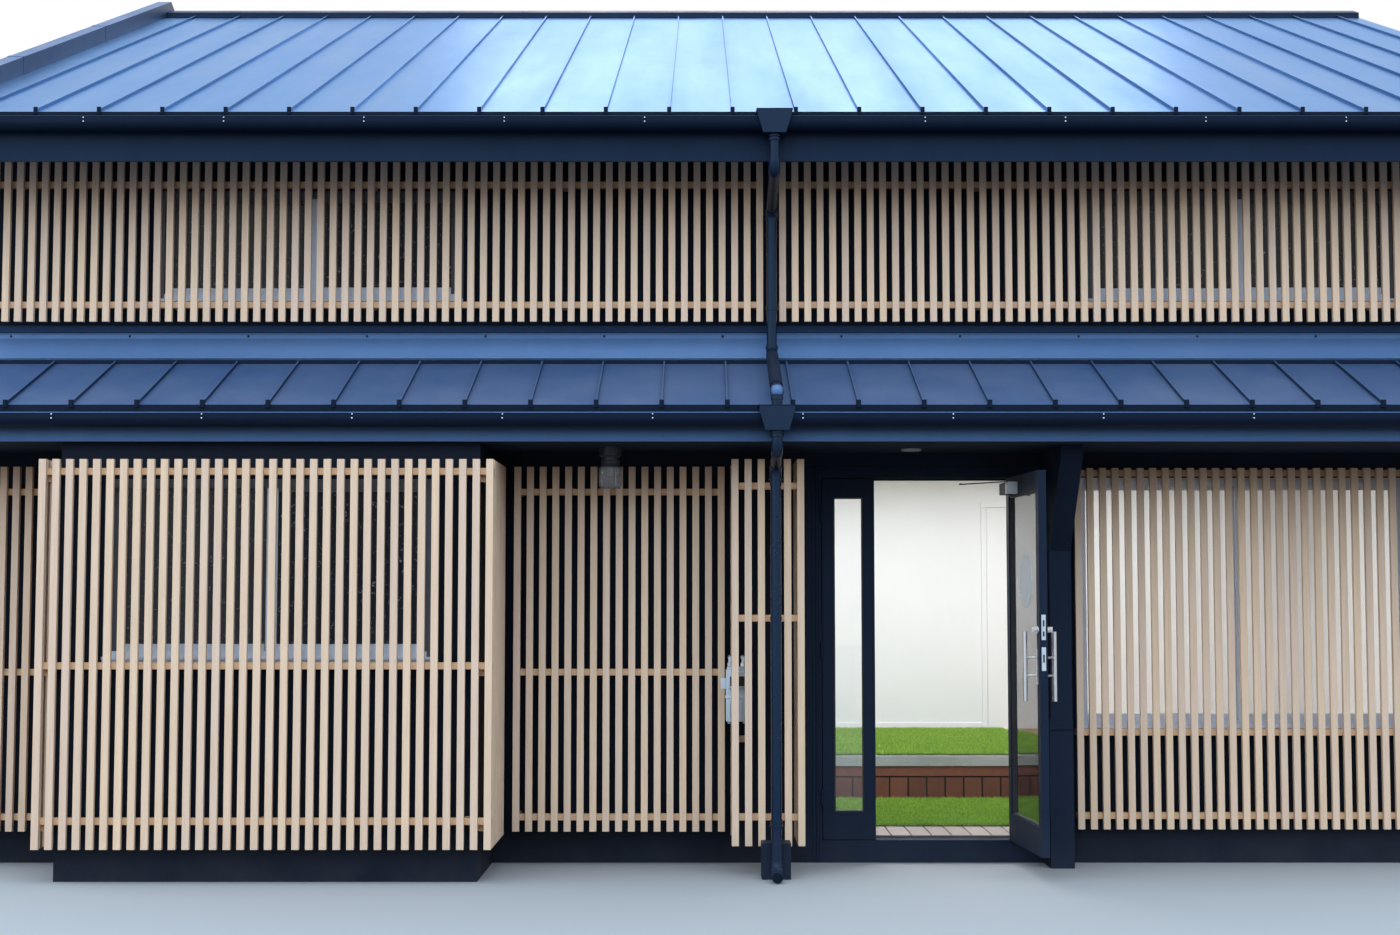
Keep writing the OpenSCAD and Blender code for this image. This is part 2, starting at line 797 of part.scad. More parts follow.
module pent_roof() {
    color(slate) {
        run_x(left, right) polygon([
            [pent_y, pent_top(pent_y)], [front, pent_top(front)],
            [front, pent_under(front)], [pent_y, pent_under(pent_y)]
        ]);
        for (x = pent_seam_xs)
            run_x(x - seam_w / 2, x + seam_w / 2) polygon([
                [pent_y, pent_top(pent_y)], [flashing_foot, pent_top(flashing_foot)],
                [flashing_foot, pent_top(flashing_foot) + seam_h],
                [pent_y, pent_top(pent_y) + seam_h]
            ]);
    }
}

module pent_eaves() {
    y1 = pent_fascia_y;
    y2 = pent_fascia_y + fascia_t;
    color(navy) run_x(left, right) polygon([
        [y1, soffit_z], [front, soffit_z], [front, soffit_z + soffit_t],
        [y2, soffit_z + soffit_t], [y2, pent_under(y2)], [y1, pent_under(y1)]
    ]);
}

module wall_flashing() {
    foot = pent_top(flashing_foot);
    head = pent_top(front) + flashing_h;
    color(slate) run_x(left, right) polygon([
        [flashing_foot, foot], [flashing_foot + 20, pent_top(flashing_foot + 20)],
        [front, head - flashing_fold], [front, head], [front - flashing_t, head],
        [front - flashing_t, head - flashing_fold], [flashing_foot, foot + flashing_t]
    ]);
}

// A gutter's half round with its straight upper walls
module gutter_profile(y, rim, r) {
    translate([y, rim - gutter_wall]) {
        intersection() {
            circle(r, $fn = 64);
            translate([-r, -r]) square([2 * r, r]);
        }
        translate([-r, 0]) square([2 * r, gutter_wall]);
    }
}

module gutter(y, rim, x0, x1, hopper_y) {
    difference() {
        run_x(x0, x1) gutter_profile(y, rim, gutter_r);
        if (hopper_y != undef) hopper_body(rim + hopper_rise - hopper_h, hopper_y);
        run_x(x0 + gutter_t, x1 - gutter_t) {
            gutter_profile(y, rim, gutter_r - gutter_t);
            translate([y - gutter_r + gutter_t, rim - past])
                square([2 * (gutter_r - gutter_t), 2 * past]);
        }
    }
    // Brackets back to the fascia, none behind a hopper
    for (x = [x0 + bracket_first:bracket_run:x1 - bracket_w])
        if (hopper_y == undef || abs(x - down_x) > hopper_w / 2 + bracket_w)
            block([x - bracket_w / 2, x + bracket_w / 2],
                  [y + gutter_r - gutter_t / 2, y + gutter_r + gutter_gap],
                  [rim - rim_gap - bracket_h, rim - rim_gap]);
}

module gutters() {
    color(navy) {
        gutter(upper_gutter_y, upper_rim, roof_left, roof_right, upper_hopper_y);
        gutter(pent_gutter_y, pent_rim, left, right, pent_hopper_y);
        mirror([0, 1, 0]) gutter(upper_gutter_y, upper_rim, roof_left, roof_right, undef);
    }
}

// A hopper below a gutter: wide at its mouth, narrow at its foot
module hopper_profile(low, t) {
    polygon([
        [down_x - hopper_foot / 2 + t, low], [down_x + hopper_foot / 2 - t, low],
        [down_x + hopper_w / 2 - t, low + hopper_h * hopper_neck],
        [down_x + hopper_w / 2 - t, low + hopper_h],
        [down_x - hopper_w / 2 + t, low + hopper_h],
        [down_x - hopper_w / 2 + t, low + hopper_h * hopper_neck]
    ]);
}

module hopper_body(low, y) {
    run_y(y - hopper_d / 2, y + hopper_d / 2) hopper_profile(low, 0);
}

module hopper(low, y) {
    difference() {
        hopper_body(low, y);
        intersection() {
            run_y(y - hopper_d / 2 + gutter_t, y + hopper_d / 2 - gutter_t)
                hopper_profile(low, gutter_t);
            block([down_x - hopper_w, down_x + hopper_w], [y - hopper_d, y + hopper_d],
                  [low + hopper_h * hopper_floor, low + hopper_h + past]);
        }
    }
}

// A straight pipe between two points of the plane X = down_x
module pipe_run(a, b) {
    d = b - a;
    translate([down_x, a[0], a[1]]) rotate([-atan2(d[0], d[1]), 0, 0])
        cylinder(h = norm(d), r = pipe_r, $fn = 48);
}

// A pipe along points given as [Y, Z], with a round elbow over its ends at each inner point
function unit(v) = v / norm(v);
function turn_at(p, i) = let (u = unit(p[i] - p[i - 1]), v = unit(p[i + 1] - p[i]))
    atan2(u[0] * v[1] - u[1] * v[0], u * v);
function setback(p, i) = i == 0 || i == len(p) - 1 ? 0 : bend_r * tan(abs(turn_at(p, i)) / 2);

function run_end(p, i) = i == 0 || i == len(p) - 1 ? 0 : setback(p, i) - elbow_enter;

module pipe_path(p) {
    for (i = [1:len(p) - 1]) {
        u = unit(p[i] - p[i - 1]);
        pipe_run(p[i - 1] + u * run_end(p, i - 1), p[i] - u * run_end(p, i));
    }
    for (i = [1:len(p) - 2]) {
        u = unit(p[i] - p[i - 1]);
        turn = turn_at(p, i);
        side = sign(turn);
        start = p[i] - u * setback(p, i);
        centre = start + side * bend_r * [-u[1], u[0]];
        from = atan2(start[1] - centre[1], start[0] - centre[0]);
        translate([down_x, centre[0], centre[1]]) rotate([90, 0, 90])
            rotate([0, 0, turn < 0 ? from + turn : from])
                rotate_extrude(angle = abs(turn), $fn = 96)
                    translate([bend_r, 0]) circle(pipe_r + clip_t, $fn = 48);
    }
}

// A clip round an upright pipe, with a stem back to what carries it
module pipe_clip(y, z, back_y) {
    difference() {
        translate([down_x, y, z]) cylinder(h = clip_h, r = pipe_r + clip_t, $fn = 48);
        translate([down_x, y, z - past]) cylinder(h = clip_h + 2 * past, r = pipe_r, $fn = 48);
    }
    block([down_x - clip_stem_w / 2, down_x + clip_stem_w / 2], [y + pipe_r + clip_t / 2, back_y],
          [z + clip_t, z + clip_h - clip_t]);
}

module upper_downpipe() {
    color(navy) {
        hopper(hopper_low_upper, upper_hopper_y);
        pipe_path(upper_path);
        for (z = upper_clip_zs) pipe_clip(upper_pipe_y, z, front);
    }
}

module lower_downpipe() {
    end = lower_path[len(lower_path) - 1];
    color(navy) {
        hopper(hopper_low_pent, pent_hopper_y);
        difference() {
            pipe_path(lower_path);
            translate([down_x, end[0] - past, end[1]]) rotate([-90, 0, 0])
                cylinder(h = outlet_bore, r = pipe_r - gutter_t, $fn = 48);
        }
        for (z = meter_rails) pipe_clip(lower_pipe_y, z + (rail_h - clip_h) / 2, meter_y);
    }
}

module downpipe_pier() {
    color(navy)
        block([down_x - pier_w / 2, down_x + pier_w / 2],
              [lower_pipe_y + pipe_r + clip_t, meter_y - corner_gap], [0, pier_h]);
}

module bay_lattice() {
    color(timber)
        lattice(bay_lattice_x, bay_lattice_y, bay_low, bay_high, bay_slats, bay_rails,
                bay_lattice_off, bay_side_off + bay_spacer_in);
}

// The slatted returns beside the bay, with rails one height lower than the front's
module bay_lattice_sides() {
    y0 = bay_lattice_y + lattice_t + corner_gap;
    n = floor((recess_y - lattice_gap - y0 - slat_w) / slat_pitch) + 1;
    run = (n - 1) * slat_pitch + slat_w;
    rails = [for (z = bay_rails) z - rail_h];
    color(timber) {
        translate([bay_lattice_x + bay_lattice_w, y0, 0]) rotate([0, 0, 90])
            lattice(0, 0, bay_low, bay_high, n, rails, bay_side_off);
        translate([bay_lattice_x, y0 + run, 0]) rotate([0, 0, -90])
            lattice(0, 0, bay_low, bay_high, n, rails, bay_side_off);
    }
}

module recess_lattice() {
    color(timber) {
        lattice(end_x, recess_y, lattice_low, lattice_high, end_slats, recess_rails, recess_off);
        lattice(recess_x, recess_y, lattice_low, lattice_high, recess_slats, recess_rails,
                recess_off);
    }
}

// One side of the meter lattice: uprights and rails back to the wall
module meter_side(x, ys) {
    y0 = meter_y + lattice_t + corner_gap;
    for (y = ys) block([x, x + slat_w], [y, y + slat_w], [meter_low, meter_high]);
    for (z = meter_side_rails)
        block([x + (slat_w - slat_d) / 2, x + (slat_w + slat_d) / 2], [y0, front], [z, z + rail_h]);
}

module meter_lattice() {
    y0 = meter_y + lattice_t + corner_gap;
    y1 = front - slat_w;
    color(timber) {
        lattice(meter_left, meter_y, meter_low, meter_high, meter_slats, meter_rails, lattice_t);
        meter_side(meter_left + slat_w, [y0, y1]);
        meter_side(meter_right - 2 * slat_w, [for (y = [y0:slat_pitch:y1 - slat_pitch]) y]);
    }
}

module right_lattice() {
    color(timber)
        lattice(left + right_first, right_y, lattice_low, lattice_high, right_slats, right_rails,
                right_off);
}

module upper_lattice() {
    gap_left = down_x - upper_gap / 2;
    gap_right = down_x + upper_gap / 2;
    color(timber) {
        lattice(gap_left - (upper_left_slats - 1) * slat_pitch - slat_w, upper_y, upper_low,
                upper_high, upper_left_slats, upper_rails, upper_off);
        lattice(gap_right, upper_y, upper_low, upper_high, upper_right_slats, upper_rails,
                upper_off);
    }
}

// Puts what is drawn beside a hinge pin at the pin, turned by an angle
module at_hinge(x, angle) {
    translate([x, hinge_y, 0]) rotate([0, 0, angle]) children();
}

// One half of each hinge: a knuckle and its plate, on the side given by its sign
module hinge_halves(side, lift) {
    for (z = hinge_zs) translate([0, 0, z + lift]) {
        cylinder(h = knuckle_h, r = knuckle_r, $fn = 32);
        block(side > 0 ? [plate_in, plate_l] : [-plate_l, -plate_in],
              [pin_out - plate_t, pin_out], [0, knuckle_h]);
        block([-plate_t / 2, plate_t / 2], [0, pin_out - plate_t / 2], [0, knuckle_h]);
    }
}

module door_frame() {
    color(navy) {
        block([frame_left, side_hinge_x], [front, front + frame_d], [0, frame_top]);
        block([hinge_x, frame_right], [front, front + frame_d], [0, frame_top]);
        block([side_hinge_x, hinge_x], [front, front + frame_d], [head_z, frame_top]);
        block([side_hinge_x, hinge_x], [front, front + frame_d], [0, sill_z]);
        // Stops behind the closed leaves
        for (x = [side_hinge_x, hinge_x - stop_w])
            block([x, x + stop_w], [stop_y, front + frame_d], [sill_z, head_z]);
        block([side_hinge_x, hinge_x], [stop_y, front + frame_d], [head_z - stop_w, head_z]);
        at_hinge(hinge_x, 0) hinge_halves(1, 0);
        at_hinge(side_hinge_x, 0) hinge_halves(-1, 0);
    }
}

// A door leaf's border, beside its hinge pin; side is -1 where the leaf lies to the left
function leaf_span(w, side) = side < 0 ? [-hinge_gap - w, -hinge_gap] : [hinge_gap, hinge_gap + w];

module leaf_border(w, side) {
    x = leaf_span(w, side);
    difference() {
        block(x, [pin_out, pin_out + leaf_t], [leaf_low, leaf_high]);
        block([x[0] + stile_w, x[1] - stile_w], [pin_out - past, pin_out + leaf_t + past],
              [leaf_low + bottom_rail, leaf_high - top_rail]);
    }
    hinge_halves(side, knuckle_h + knuckle_gap);
}

module leaf_pane(w, side) {
    x = leaf_span(w, side);
    y = pin_out + leaf_t / 2;
    block([x[0] + stile_w, x[1] - stile_w], [y - glass_t / 2, y + glass_t / 2],
          [leaf_low + bottom_rail, leaf_high - top_rail]);
}

module door_leaf() {
    color(navy) at_hinge(hinge_x, door_open) leaf_border(leaf_w, -1);
}

module door_glass() {
    color("lightcyan", 0.4) at_hinge(hinge_x, door_open) leaf_pane(leaf_w, -1);
}

// A pull bar on each face, on two arms from a plate on the stile
module door_pulls() {
    x = -hinge_gap - leaf_w + pull_back;
    color(silver) at_hinge(hinge_x, door_open)
        for (face = [0, 1]) {
            y = face == 0 ? pin_out : pin_out + leaf_t;
            out = face == 0 ? -1 : 1;
            translate([x, y + out * pull_off, pull_z - pull_l / 2])
                cylinder(h = pull_l, r = pull_d / 2, $fn = 32);
            block([x - pull_side - pull_plate_w / 2, x - pull_side + pull_plate_w / 2],
                  face == 0 ? [y - pull_plate_t, y] : [y, y + pull_plate_t],
                  [pull_z - pull_plate_h / 2, pull_z + pull_plate_h / 2]);
            for (dz = [-pull_arm_gap / 2, pull_arm_gap / 2])
                translate([x - pull_side, y + out * pull_seat, pull_z + dz])
                    rotate([0, 90, out * atan2(pull_reach, pull_side)])
                        cylinder(h = norm([pull_side, pull_reach]), r = pull_arm_r, $fn = 32);
        }
}

module door_closer() {
    x = -closer_start;
    y = pin_out + leaf_t;
    color(slate) at_hinge(hinge_x, door_open) {
        block([x - closer_l, x], [y, y + closer_t], [closer_top - closer_h, closer_top]);
        translate([-spindle_s, spindle_off, closer_top])
            cylinder(h = arm_z - knuckle_gap - closer_top, r = spindle_r, $fn = 32);
    }
}

module closer_arm() {
    color(slate) translate([spindle_x, spindle_y, arm_z]) rotate([0, 0, 180 - arm_angle]) {
        translate([0, -arm_w / 2, 0]) cube([arm_l, arm_w, arm_t]);
        for (x = [0, arm_l]) translate([x, 0, 0]) cylinder(h = arm_t, r = arm_w / 2, $fn = 32);
        translate([arm_l, 0, arm_t]) cylinder(h = arm_pin_h, r = arm_pin_r, $fn = 32);
    }
}

module side_leaf() {
    color(navy) at_hinge(side_hinge_x, 0) leaf_border(side_leaf_w, 1);
}

module side_leaf_glass() {
    color("lightcyan", 0.4) at_hinge(side_hinge_x, 0) leaf_pane(side_leaf_w, 1);
}

// The post beside the door, with the brace that carries the pent roof's edge
module door_post() {
    color(navy) {
        block([post_left, post_left + post_w], [front - post_out, front], [0, soffit_z]);
        block([post_left - sleeve_t, post_left + post_w], [front - post_out - sleeve_t, front],
              [0, sleeve_z]);
        run_x(post_left, post_left + post_w) polygon([
            [front - post_out, brace_z], [front - post_out, soffit_z],
            [front - brace_out, soffit_z], [front - brace_out, soffit_z - 60]
        ]);
    }
}

module front_windows() {
    color(silver) {
        window_unit(bay_window);
        window_unit(right_window);
        for (w = upper_windows) window_unit(w);
    }
}

module rear_windows() {
    color(silver) for (w = rear_windows_at) at_rear() window_unit(w);
}

module clear_glass() {
    color("lightcyan", 0.4) window_panes(right_window);
}

module frosted_glass() {
    color("lightslategray", 0.7) {
        window_panes(bay_window);
        for (w = upper_windows) window_panes(w);
        for (w = rear_windows_at) at_rear() window_panes(w);
    }
}

module porch_lamp() {
    r = lamp_d / 2;
    cap = lamp_cap_d / 2;
    taper = 25;
    plate = 12;
    color("gainsboro") translate([left + lamp_x, front - lamp_off, 0])
        rotate_extrude($fn = 64) polygon([
            [0, lamp_z], [r * 0.75, lamp_z], [r, lamp_z + taper], [r, lamp_z + lamp_h],
            [cap, lamp_z + lamp_h], [cap, soffit_z - plate], [r, soffit_z - plate],
            [r, soffit_z], [0, soffit_z]
        ]);
}

module gas_meter() {
    x = meter_left - gas_out;
    y = meter_y + gas_in;
    mid_y = y + gas_d / 2;
    r = gas_pipe_d / 2;
    rise = 60;
    color("lightgray") {
        block([x, x + gas_w], [y, y + gas_d], [gas_z, gas_z + gas_h]);
        // Two pipes up from the meter and back into the wall
        for (share = [0.2, 0.85])
            translate([x + share * gas_w, mid_y, gas_z + gas_h]) {
                cylinder(h = rise, r = r, $fn = 32);
                translate([0, 0, rise - r]) rotate([-90, 0, 0])
                    cylinder(h = front - mid_y, r = r, $fn = 32);
            }
    }
}

module left_party_wall() {
    party_wall(left);
}

module right_party_wall() {
    party_wall(in_right);
}

entry_floor();
step_riser();
raised_floor();
upper_floor();
front_wall_left();
front_wall_over_door();
front_wall_right();
upper_front_wall();
rear_wall();
left_party_wall();
right_party_wall();
inner_wall();
bay_front_wall();
bay_side_walls();
roof_front();
roof_rear();
ridge_cap();
verge_coping();
roof_fascias();
pent_roof();
pent_eaves();
wall_flashing();
gutters();
upper_downpipe();
lower_downpipe();
downpipe_pier();
bay_lattice();
bay_lattice_sides();
recess_lattice();
meter_lattice();
right_lattice();
upper_lattice();
door_frame();
door_leaf();
door_glass();
door_pulls();
door_closer();
closer_arm();
side_leaf();
side_leaf_glass();
door_post();
front_windows();
rear_windows();
clear_glass();
frosted_glass();
porch_lamp();
gas_meter();
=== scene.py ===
"""Finishes and small pieces of a two-storey machiya townhouse, built around its fixed model.

Every length is in metres. X runs along the street front, +Y from the street to the back, Z is up.
"""

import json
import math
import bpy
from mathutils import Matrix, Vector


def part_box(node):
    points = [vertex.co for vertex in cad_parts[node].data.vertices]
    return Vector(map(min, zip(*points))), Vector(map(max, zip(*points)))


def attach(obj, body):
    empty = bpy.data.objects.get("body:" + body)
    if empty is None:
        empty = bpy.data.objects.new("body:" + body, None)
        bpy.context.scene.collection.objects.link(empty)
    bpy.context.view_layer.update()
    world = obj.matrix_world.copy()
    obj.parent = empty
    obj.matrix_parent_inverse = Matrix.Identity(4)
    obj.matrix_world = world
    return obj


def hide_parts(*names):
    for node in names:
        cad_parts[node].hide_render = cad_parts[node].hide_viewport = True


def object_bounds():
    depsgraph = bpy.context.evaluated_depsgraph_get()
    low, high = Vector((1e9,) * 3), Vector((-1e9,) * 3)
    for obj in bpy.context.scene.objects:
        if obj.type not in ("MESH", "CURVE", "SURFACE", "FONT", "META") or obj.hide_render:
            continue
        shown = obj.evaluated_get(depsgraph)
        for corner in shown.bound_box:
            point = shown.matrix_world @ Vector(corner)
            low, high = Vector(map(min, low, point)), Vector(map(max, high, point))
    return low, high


bl_info = {
    "name": "Machiya Townhouse",
    "version": (1, 0, 0),
    "blender": (4, 5, 0),
    "location": "View3D > Sidebar > Townhouse",
    "description": "Builds the finishes and small pieces of a machiya townhouse",
    "category": "Object",
}

import bmesh
import bpy
from mathutils import Matrix, Vector

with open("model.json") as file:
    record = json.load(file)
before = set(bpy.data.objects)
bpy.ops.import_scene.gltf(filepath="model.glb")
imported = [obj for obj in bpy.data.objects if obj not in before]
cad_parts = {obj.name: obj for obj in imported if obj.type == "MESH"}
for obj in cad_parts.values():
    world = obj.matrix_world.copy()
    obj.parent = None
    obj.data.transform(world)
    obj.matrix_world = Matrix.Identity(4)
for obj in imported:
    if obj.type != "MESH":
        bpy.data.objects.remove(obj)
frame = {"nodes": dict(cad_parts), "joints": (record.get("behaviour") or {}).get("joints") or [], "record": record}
cad_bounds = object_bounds()

QUARTER = math.pi / 2
# Turns that lay an upright bar along X and along Y
ALONG_X = (0, QUARTER, 0)
ALONG_Y = (-QUARTER, 0, 0)


# Sizes and colours that a user would change

def length(label, text, value):
    return bpy.props.FloatProperty(name=label, description=text, default=value, min=0.0,
                                   precision=4, unit="LENGTH")


def tint(label, text, value):
    return bpy.props.FloatVectorProperty(name=label, description=text, default=value, size=3,
                                         min=0.0, max=1.0, subtype="COLOR")


class TownhouseSizes(bpy.types.PropertyGroup):
    slat_pitch: length("Slat pitch", "Spacing of the lattice slats", 0.075)
    slat_w: length("Slat width", "Width of a slat", 0.040)
    slat_d: length("Slat depth", "Depth of a slat", 0.030)
    rail_h: length("Rail height", "Height of a lattice rail", 0.038)
    rail_d: length("Rail depth", "Depth of a lattice rail", 0.040)
    spacer_run: length("Spacer run", "Distance between the spacers behind a lattice", 1.2)
    timber_edge: length("Timber edge", "Chamfer of the slats and rails", 0.0015)
    seam_pitch: length("Seam pitch", "Spacing of the roof's standing seams", 0.364)
    seam_w: length("Seam width", "Width of a standing seam", 0.010)
    seam_h: length("Seam height", "Height of a standing seam", 0.020)
    strip_pitch: length("Strip pitch", "Spacing of the cover strips on the walls", 0.455)
    tile_w: length("Tile width", "Spacing of the entry tiles along the street", 0.121)
    tile_l: length("Tile length", "Spacing of the entry tiles away from the street", 0.500)
    brick_w: length("Brick width", "Spacing of the upright bricks in the riser", 0.131)
    joint: length("Joint", "Width of the joints between tiles", 0.007)
    brick_joint: length("Brick joint", "Width of the joints between bricks", 0.011)
    board_w: length("Board width", "Width of the boards of the raised floor", 0.120)
    blade_h: length("Blade height", "Height of the turf's blades", 0.022)


class TownhouseColours(bpy.types.PropertyGroup):
    timber: tint("Timber", "Lattice slats and rails", (0.655, 0.485, 0.365))
    dark_wall: tint("Dark wall", "Wall panels", (0.0085, 0.0098, 0.0160))
    navy: tint("Navy metal", "Eaves and fittings", (0.0065, 0.0140, 0.0350))
    # A darker copy of the navy paint: painted shade on the gutters' faces.
    gutter: tint("Gutter", "Gutters and hoppers", (0.0040, 0.0075, 0.0190))
    pipe: tint("Pipe", "Downpipes", (0.0042, 0.0092, 0.0240))
    door: tint("Door paint", "Door leaves, frame and post", (0.0092, 0.0145, 0.0290))
    # A lighter copy of the navy paint: painted sky and ground light on the pent fascia.
    fascia: tint("Pent fascia", "Boards under the pent roof's gutter", (0.056, 0.108, 0.225))
    roof: tint("Roof metal", "Main roofing sheet", (0.140, 0.265, 0.480))
    slate: tint("Slate metal", "Pent roofing sheet and ridge", (0.046, 0.090, 0.195))
    flashing: tint("Flashing", "Sloping sheet over the pent roof", (0.072, 0.148, 0.310))
    plaster: tint("Plaster", "Walls and ceilings inside", (0.825, 0.825, 0.845))
    tile: tint("Tile", "Entry tiles", (0.290, 0.225, 0.195))
    brick: tint("Brick", "Upright bricks of the riser", (0.200, 0.066, 0.040))
    grout: tint("Grout", "Joints of bricks and tiles", (0.022, 0.018, 0.018))
    turf: tint("Turf", "Blades of the turf mats", (0.255, 0.510, 0.050))
    board: tint("Floor board", "Boards of the raised floor", (0.420, 0.270, 0.150))
    aluminium: tint("Aluminium", "Window frames", (0.680, 0.740, 0.850))
    steel: tint("Steel", "Pull bars, lock and nosing", (0.600, 0.610, 0.630))
    meter: tint("Meter case", "Case of the gas meter", (0.500, 0.560, 0.620))


# Building node trees

FLOAT = "NodeSocketFloat"
VECTOR = "NodeSocketVector"
INTEGER = "NodeSocketInt"
GEOMETRY = "NodeSocketGeometry"
MATERIAL = "NodeSocketMaterial"


def feed(tree, socket, value):
    """Links a socket or sets it; a colour of three numbers gets a full alpha."""
    if isinstance(value, bpy.types.NodeSocket):
        tree.links.new(value, socket)
    elif socket.type == "RGBA" and len(value) == 3:
        socket.default_value = (*value, 1.0)
    else:
        socket.default_value = value


def add(tree, kind, wires=None, **settings):
    """Adds a node; wires maps a socket's name or number to a value or to another socket."""
    node = tree.nodes.new(kind)
    for key, value in settings.items():
        setattr(node, key, value)
    for key, value in (wires or {}).items():
        feed(tree, node.inputs[key], value)
    return node


def out(tree, kind, wires=None, **settings):
    """Adds a node and gives its first output."""
    return add(tree, kind, wires, **settings).outputs[0]


def calc(tree, operation, a, b=0.0, kind="ShaderNodeMath"):
    return out(tree, kind, {0: a, 1: b}, operation=operation)


def times(tree, a, b):
    return calc(tree, "MULTIPLY", a, b)


def vector_calc(tree, operation, a, b):
    return calc(tree, operation, a, b, "ShaderNodeVectorMath")


def axis(tree, vector, letter):
    return add(tree, "ShaderNodeSeparateXYZ", {0: vector}).outputs[letter]


def combined(tree, x=0.0, y=0.0, z=0.0):
    return out(tree, "ShaderNodeCombineXYZ", {0: x, 1: y, 2: z})


def blend(tree, factor, a, b):
    """A blend of two colours, each a triple or a socket."""
    return add(tree, "ShaderNodeMix", {0: factor, 6: a, 7: b}, data_type="RGBA").outputs[2]


def new_tree(name, kind, inputs, outputs):
    """A node group with named sockets, given as (name, socket type, default)."""
    tree = bpy.data.node_groups.new(name, kind)
    for label, socket_type, default in inputs:
        item = tree.interface.new_socket(label, in_out="INPUT", socket_type=socket_type)
        if default is not None:
            item.default_value = default
    for label, socket_type in outputs:
        tree.interface.new_socket(label, in_out="OUTPUT", socket_type=socket_type)
    source = tree.nodes.new("NodeGroupInput")
    target = tree.nodes.new("NodeGroupOutput")
    return tree, source.outputs, target.inputs


def shader_group(name, inputs, outputs):
    """A shader group that reads a Vector and numbers, and puts out numbers."""
    return new_tree(name, "ShaderNodeTree",
                    [("Vector", VECTOR, None)] + [(label, FLOAT, value) for label, value in inputs],
                    [(label, FLOAT) for label in outputs])


def shape_tree(name, inputs):
    """A Geometry Nodes tree that puts out a geometry."""
    return new_tree(name, "GeometryNodeTree", inputs + [("Material", MATERIAL, None)],
                    [("Geometry", GEOMETRY)])


# Shader groups that several materials share

def noise(tree, vector, scale, detail=3.0, roughness=0.55, distortion=0.0):
    return add(tree, "ShaderNodeTexNoise", {"Vector": vector, "Scale": scale, "Detail": detail,
                                            "Roughness": roughness,
                                            "Distortion": distortion}).outputs["Fac"]


def remap(tree, value, low, high, to_low=0.0, to_high=1.0):
    return add(tree, "ShaderNodeMapRange", {"Value": value, "From Min": low, "From Max": high,
                                            "To Min": to_low, "To Max": to_high}).outputs["Result"]


def grain_group():
    """Lines of wood grain along Z, with a slow change of tone."""
    tree, given, result = shader_group("Wood Grain", [("Fineness", 60.0), ("Stretch", 0.04)],
                                       ["Grain", "Tone"])
    squeeze = combined(tree, 1.0, 1.0, given["Stretch"])
    drawn = vector_calc(tree, "MULTIPLY", given["Vector"], squeeze)
    lines = noise(tree, drawn, given["Fineness"], 4.0, 0.6, 0.8)
    fine = noise(tree, drawn, times(tree, given["Fineness"], 5.0), 2.0)
    mixed = calc(tree, "MULTIPLY_ADD", fine, 0.3)
    feed(tree, mixed.node.inputs[2], times(tree, lines, 0.7))
    feed(tree, result["Grain"], remap(tree, mixed, 0.35, 0.65))
    feed(tree, result["Tone"], remap(tree, noise(tree, drawn, 9.0, 2.0), 0.3, 0.7))
    return tree


def wear_group():
    """A mask of worn edges, broken up by noise."""
    tree, given, result = shader_group("Edge Wear", [("Radius", 0.003), ("Breakup", 30.0)], ["Mask"])
    rounded = out(tree, "ShaderNodeBevel", {"Radius": given["Radius"]}, samples=4)
    flat = add(tree, "ShaderNodeNewGeometry").outputs["Normal"]
    dot = add(tree, "ShaderNodeVectorMath", {0: rounded, 1: flat}, operation="DOT_PRODUCT")
    edge = remap(tree, dot.outputs["Value"], 0.99, 0.80)
    spots = remap(tree, noise(tree, given["Vector"], given["Breakup"], 4.0), 0.42, 0.62)
    feed(tree, result["Mask"], times(tree, edge, spots))
    return tree


def weather_group():
    """Dust on faces that look up, splashes near the ground, and streaks that run down."""
    tree, given, result = shader_group("Weathering", [("Scale", 3.0), ("Splash Height", 0.35)],
                                       ["Dust", "Splash", "Streaks"])
    up = axis(tree, add(tree, "ShaderNodeNewGeometry").outputs["Normal"], "Z")
    cloud = noise(tree, given["Vector"], given["Scale"], 6.0, 0.65)
    facing_up = remap(tree, up, 0.2, 0.95)
    feed(tree, result["Dust"], times(tree, facing_up, remap(tree, cloud, 0.35, 0.7)))
    near = calc(tree, "DIVIDE", axis(tree, given["Vector"], "Z"), given["Splash Height"])
    close_by = remap(tree, near, 1.0, 0.0)
    feed(tree, result["Splash"], times(tree, close_by, remap(tree, cloud, 0.3, 0.75)))
    drawn = vector_calc(tree, "MULTIPLY", given["Vector"], (1.0, 1.0, 0.06))
    runs = noise(tree, drawn, times(tree, given["Scale"], 5.0), 4.0)
    feed(tree, result["Streaks"], remap(tree, runs, 0.45, 0.75))
    return tree


def speckle_group():
    """Fine surface unevenness: a height and a mottled value."""
    tree, given, result = shader_group(
        "Fine Speckle", [("Grain Scale", 400.0), ("Mottle Scale", 8.0)], ["Height", "Mottle"])
    feed(tree, result["Height"], noise(tree, given["Vector"], given["Grain Scale"], 2.0))
    mottle = noise(tree, given["Vector"], given["Mottle Scale"], 5.0, 0.6)
    feed(tree, result["Mottle"], remap(tree, mottle, 0.3, 0.7))
    return tree


def stroke_group():
    """Scattered short curved strokes, as pressed into patterned glass."""
    tree, given, result = shader_group("Pressed Strokes", [("Scale", 24.0)], ["Strokes", "Height"])
    level = noise(tree, given["Vector"], given["Scale"], 1.0, 0.5, 0.6)
    near = calc(tree, "ABSOLUTE", calc(tree, "SUBTRACT", level, 0.5))
    line = remap(tree, near, 0.022, 0.006)
    chosen = remap(tree, noise(tree, given["Vector"], times(tree, given["Scale"], 1.7)), 0.54, 0.60)
    strokes = times(tree, line, chosen)
    feed(tree, result["Strokes"], strokes)
    ripple = noise(tree, given["Vector"], times(tree, given["Scale"], 6.0), 2.0)
    feed(tree, result["Height"], calc(tree, "ADD", strokes, ripple))
    return tree


GROUPS = {}


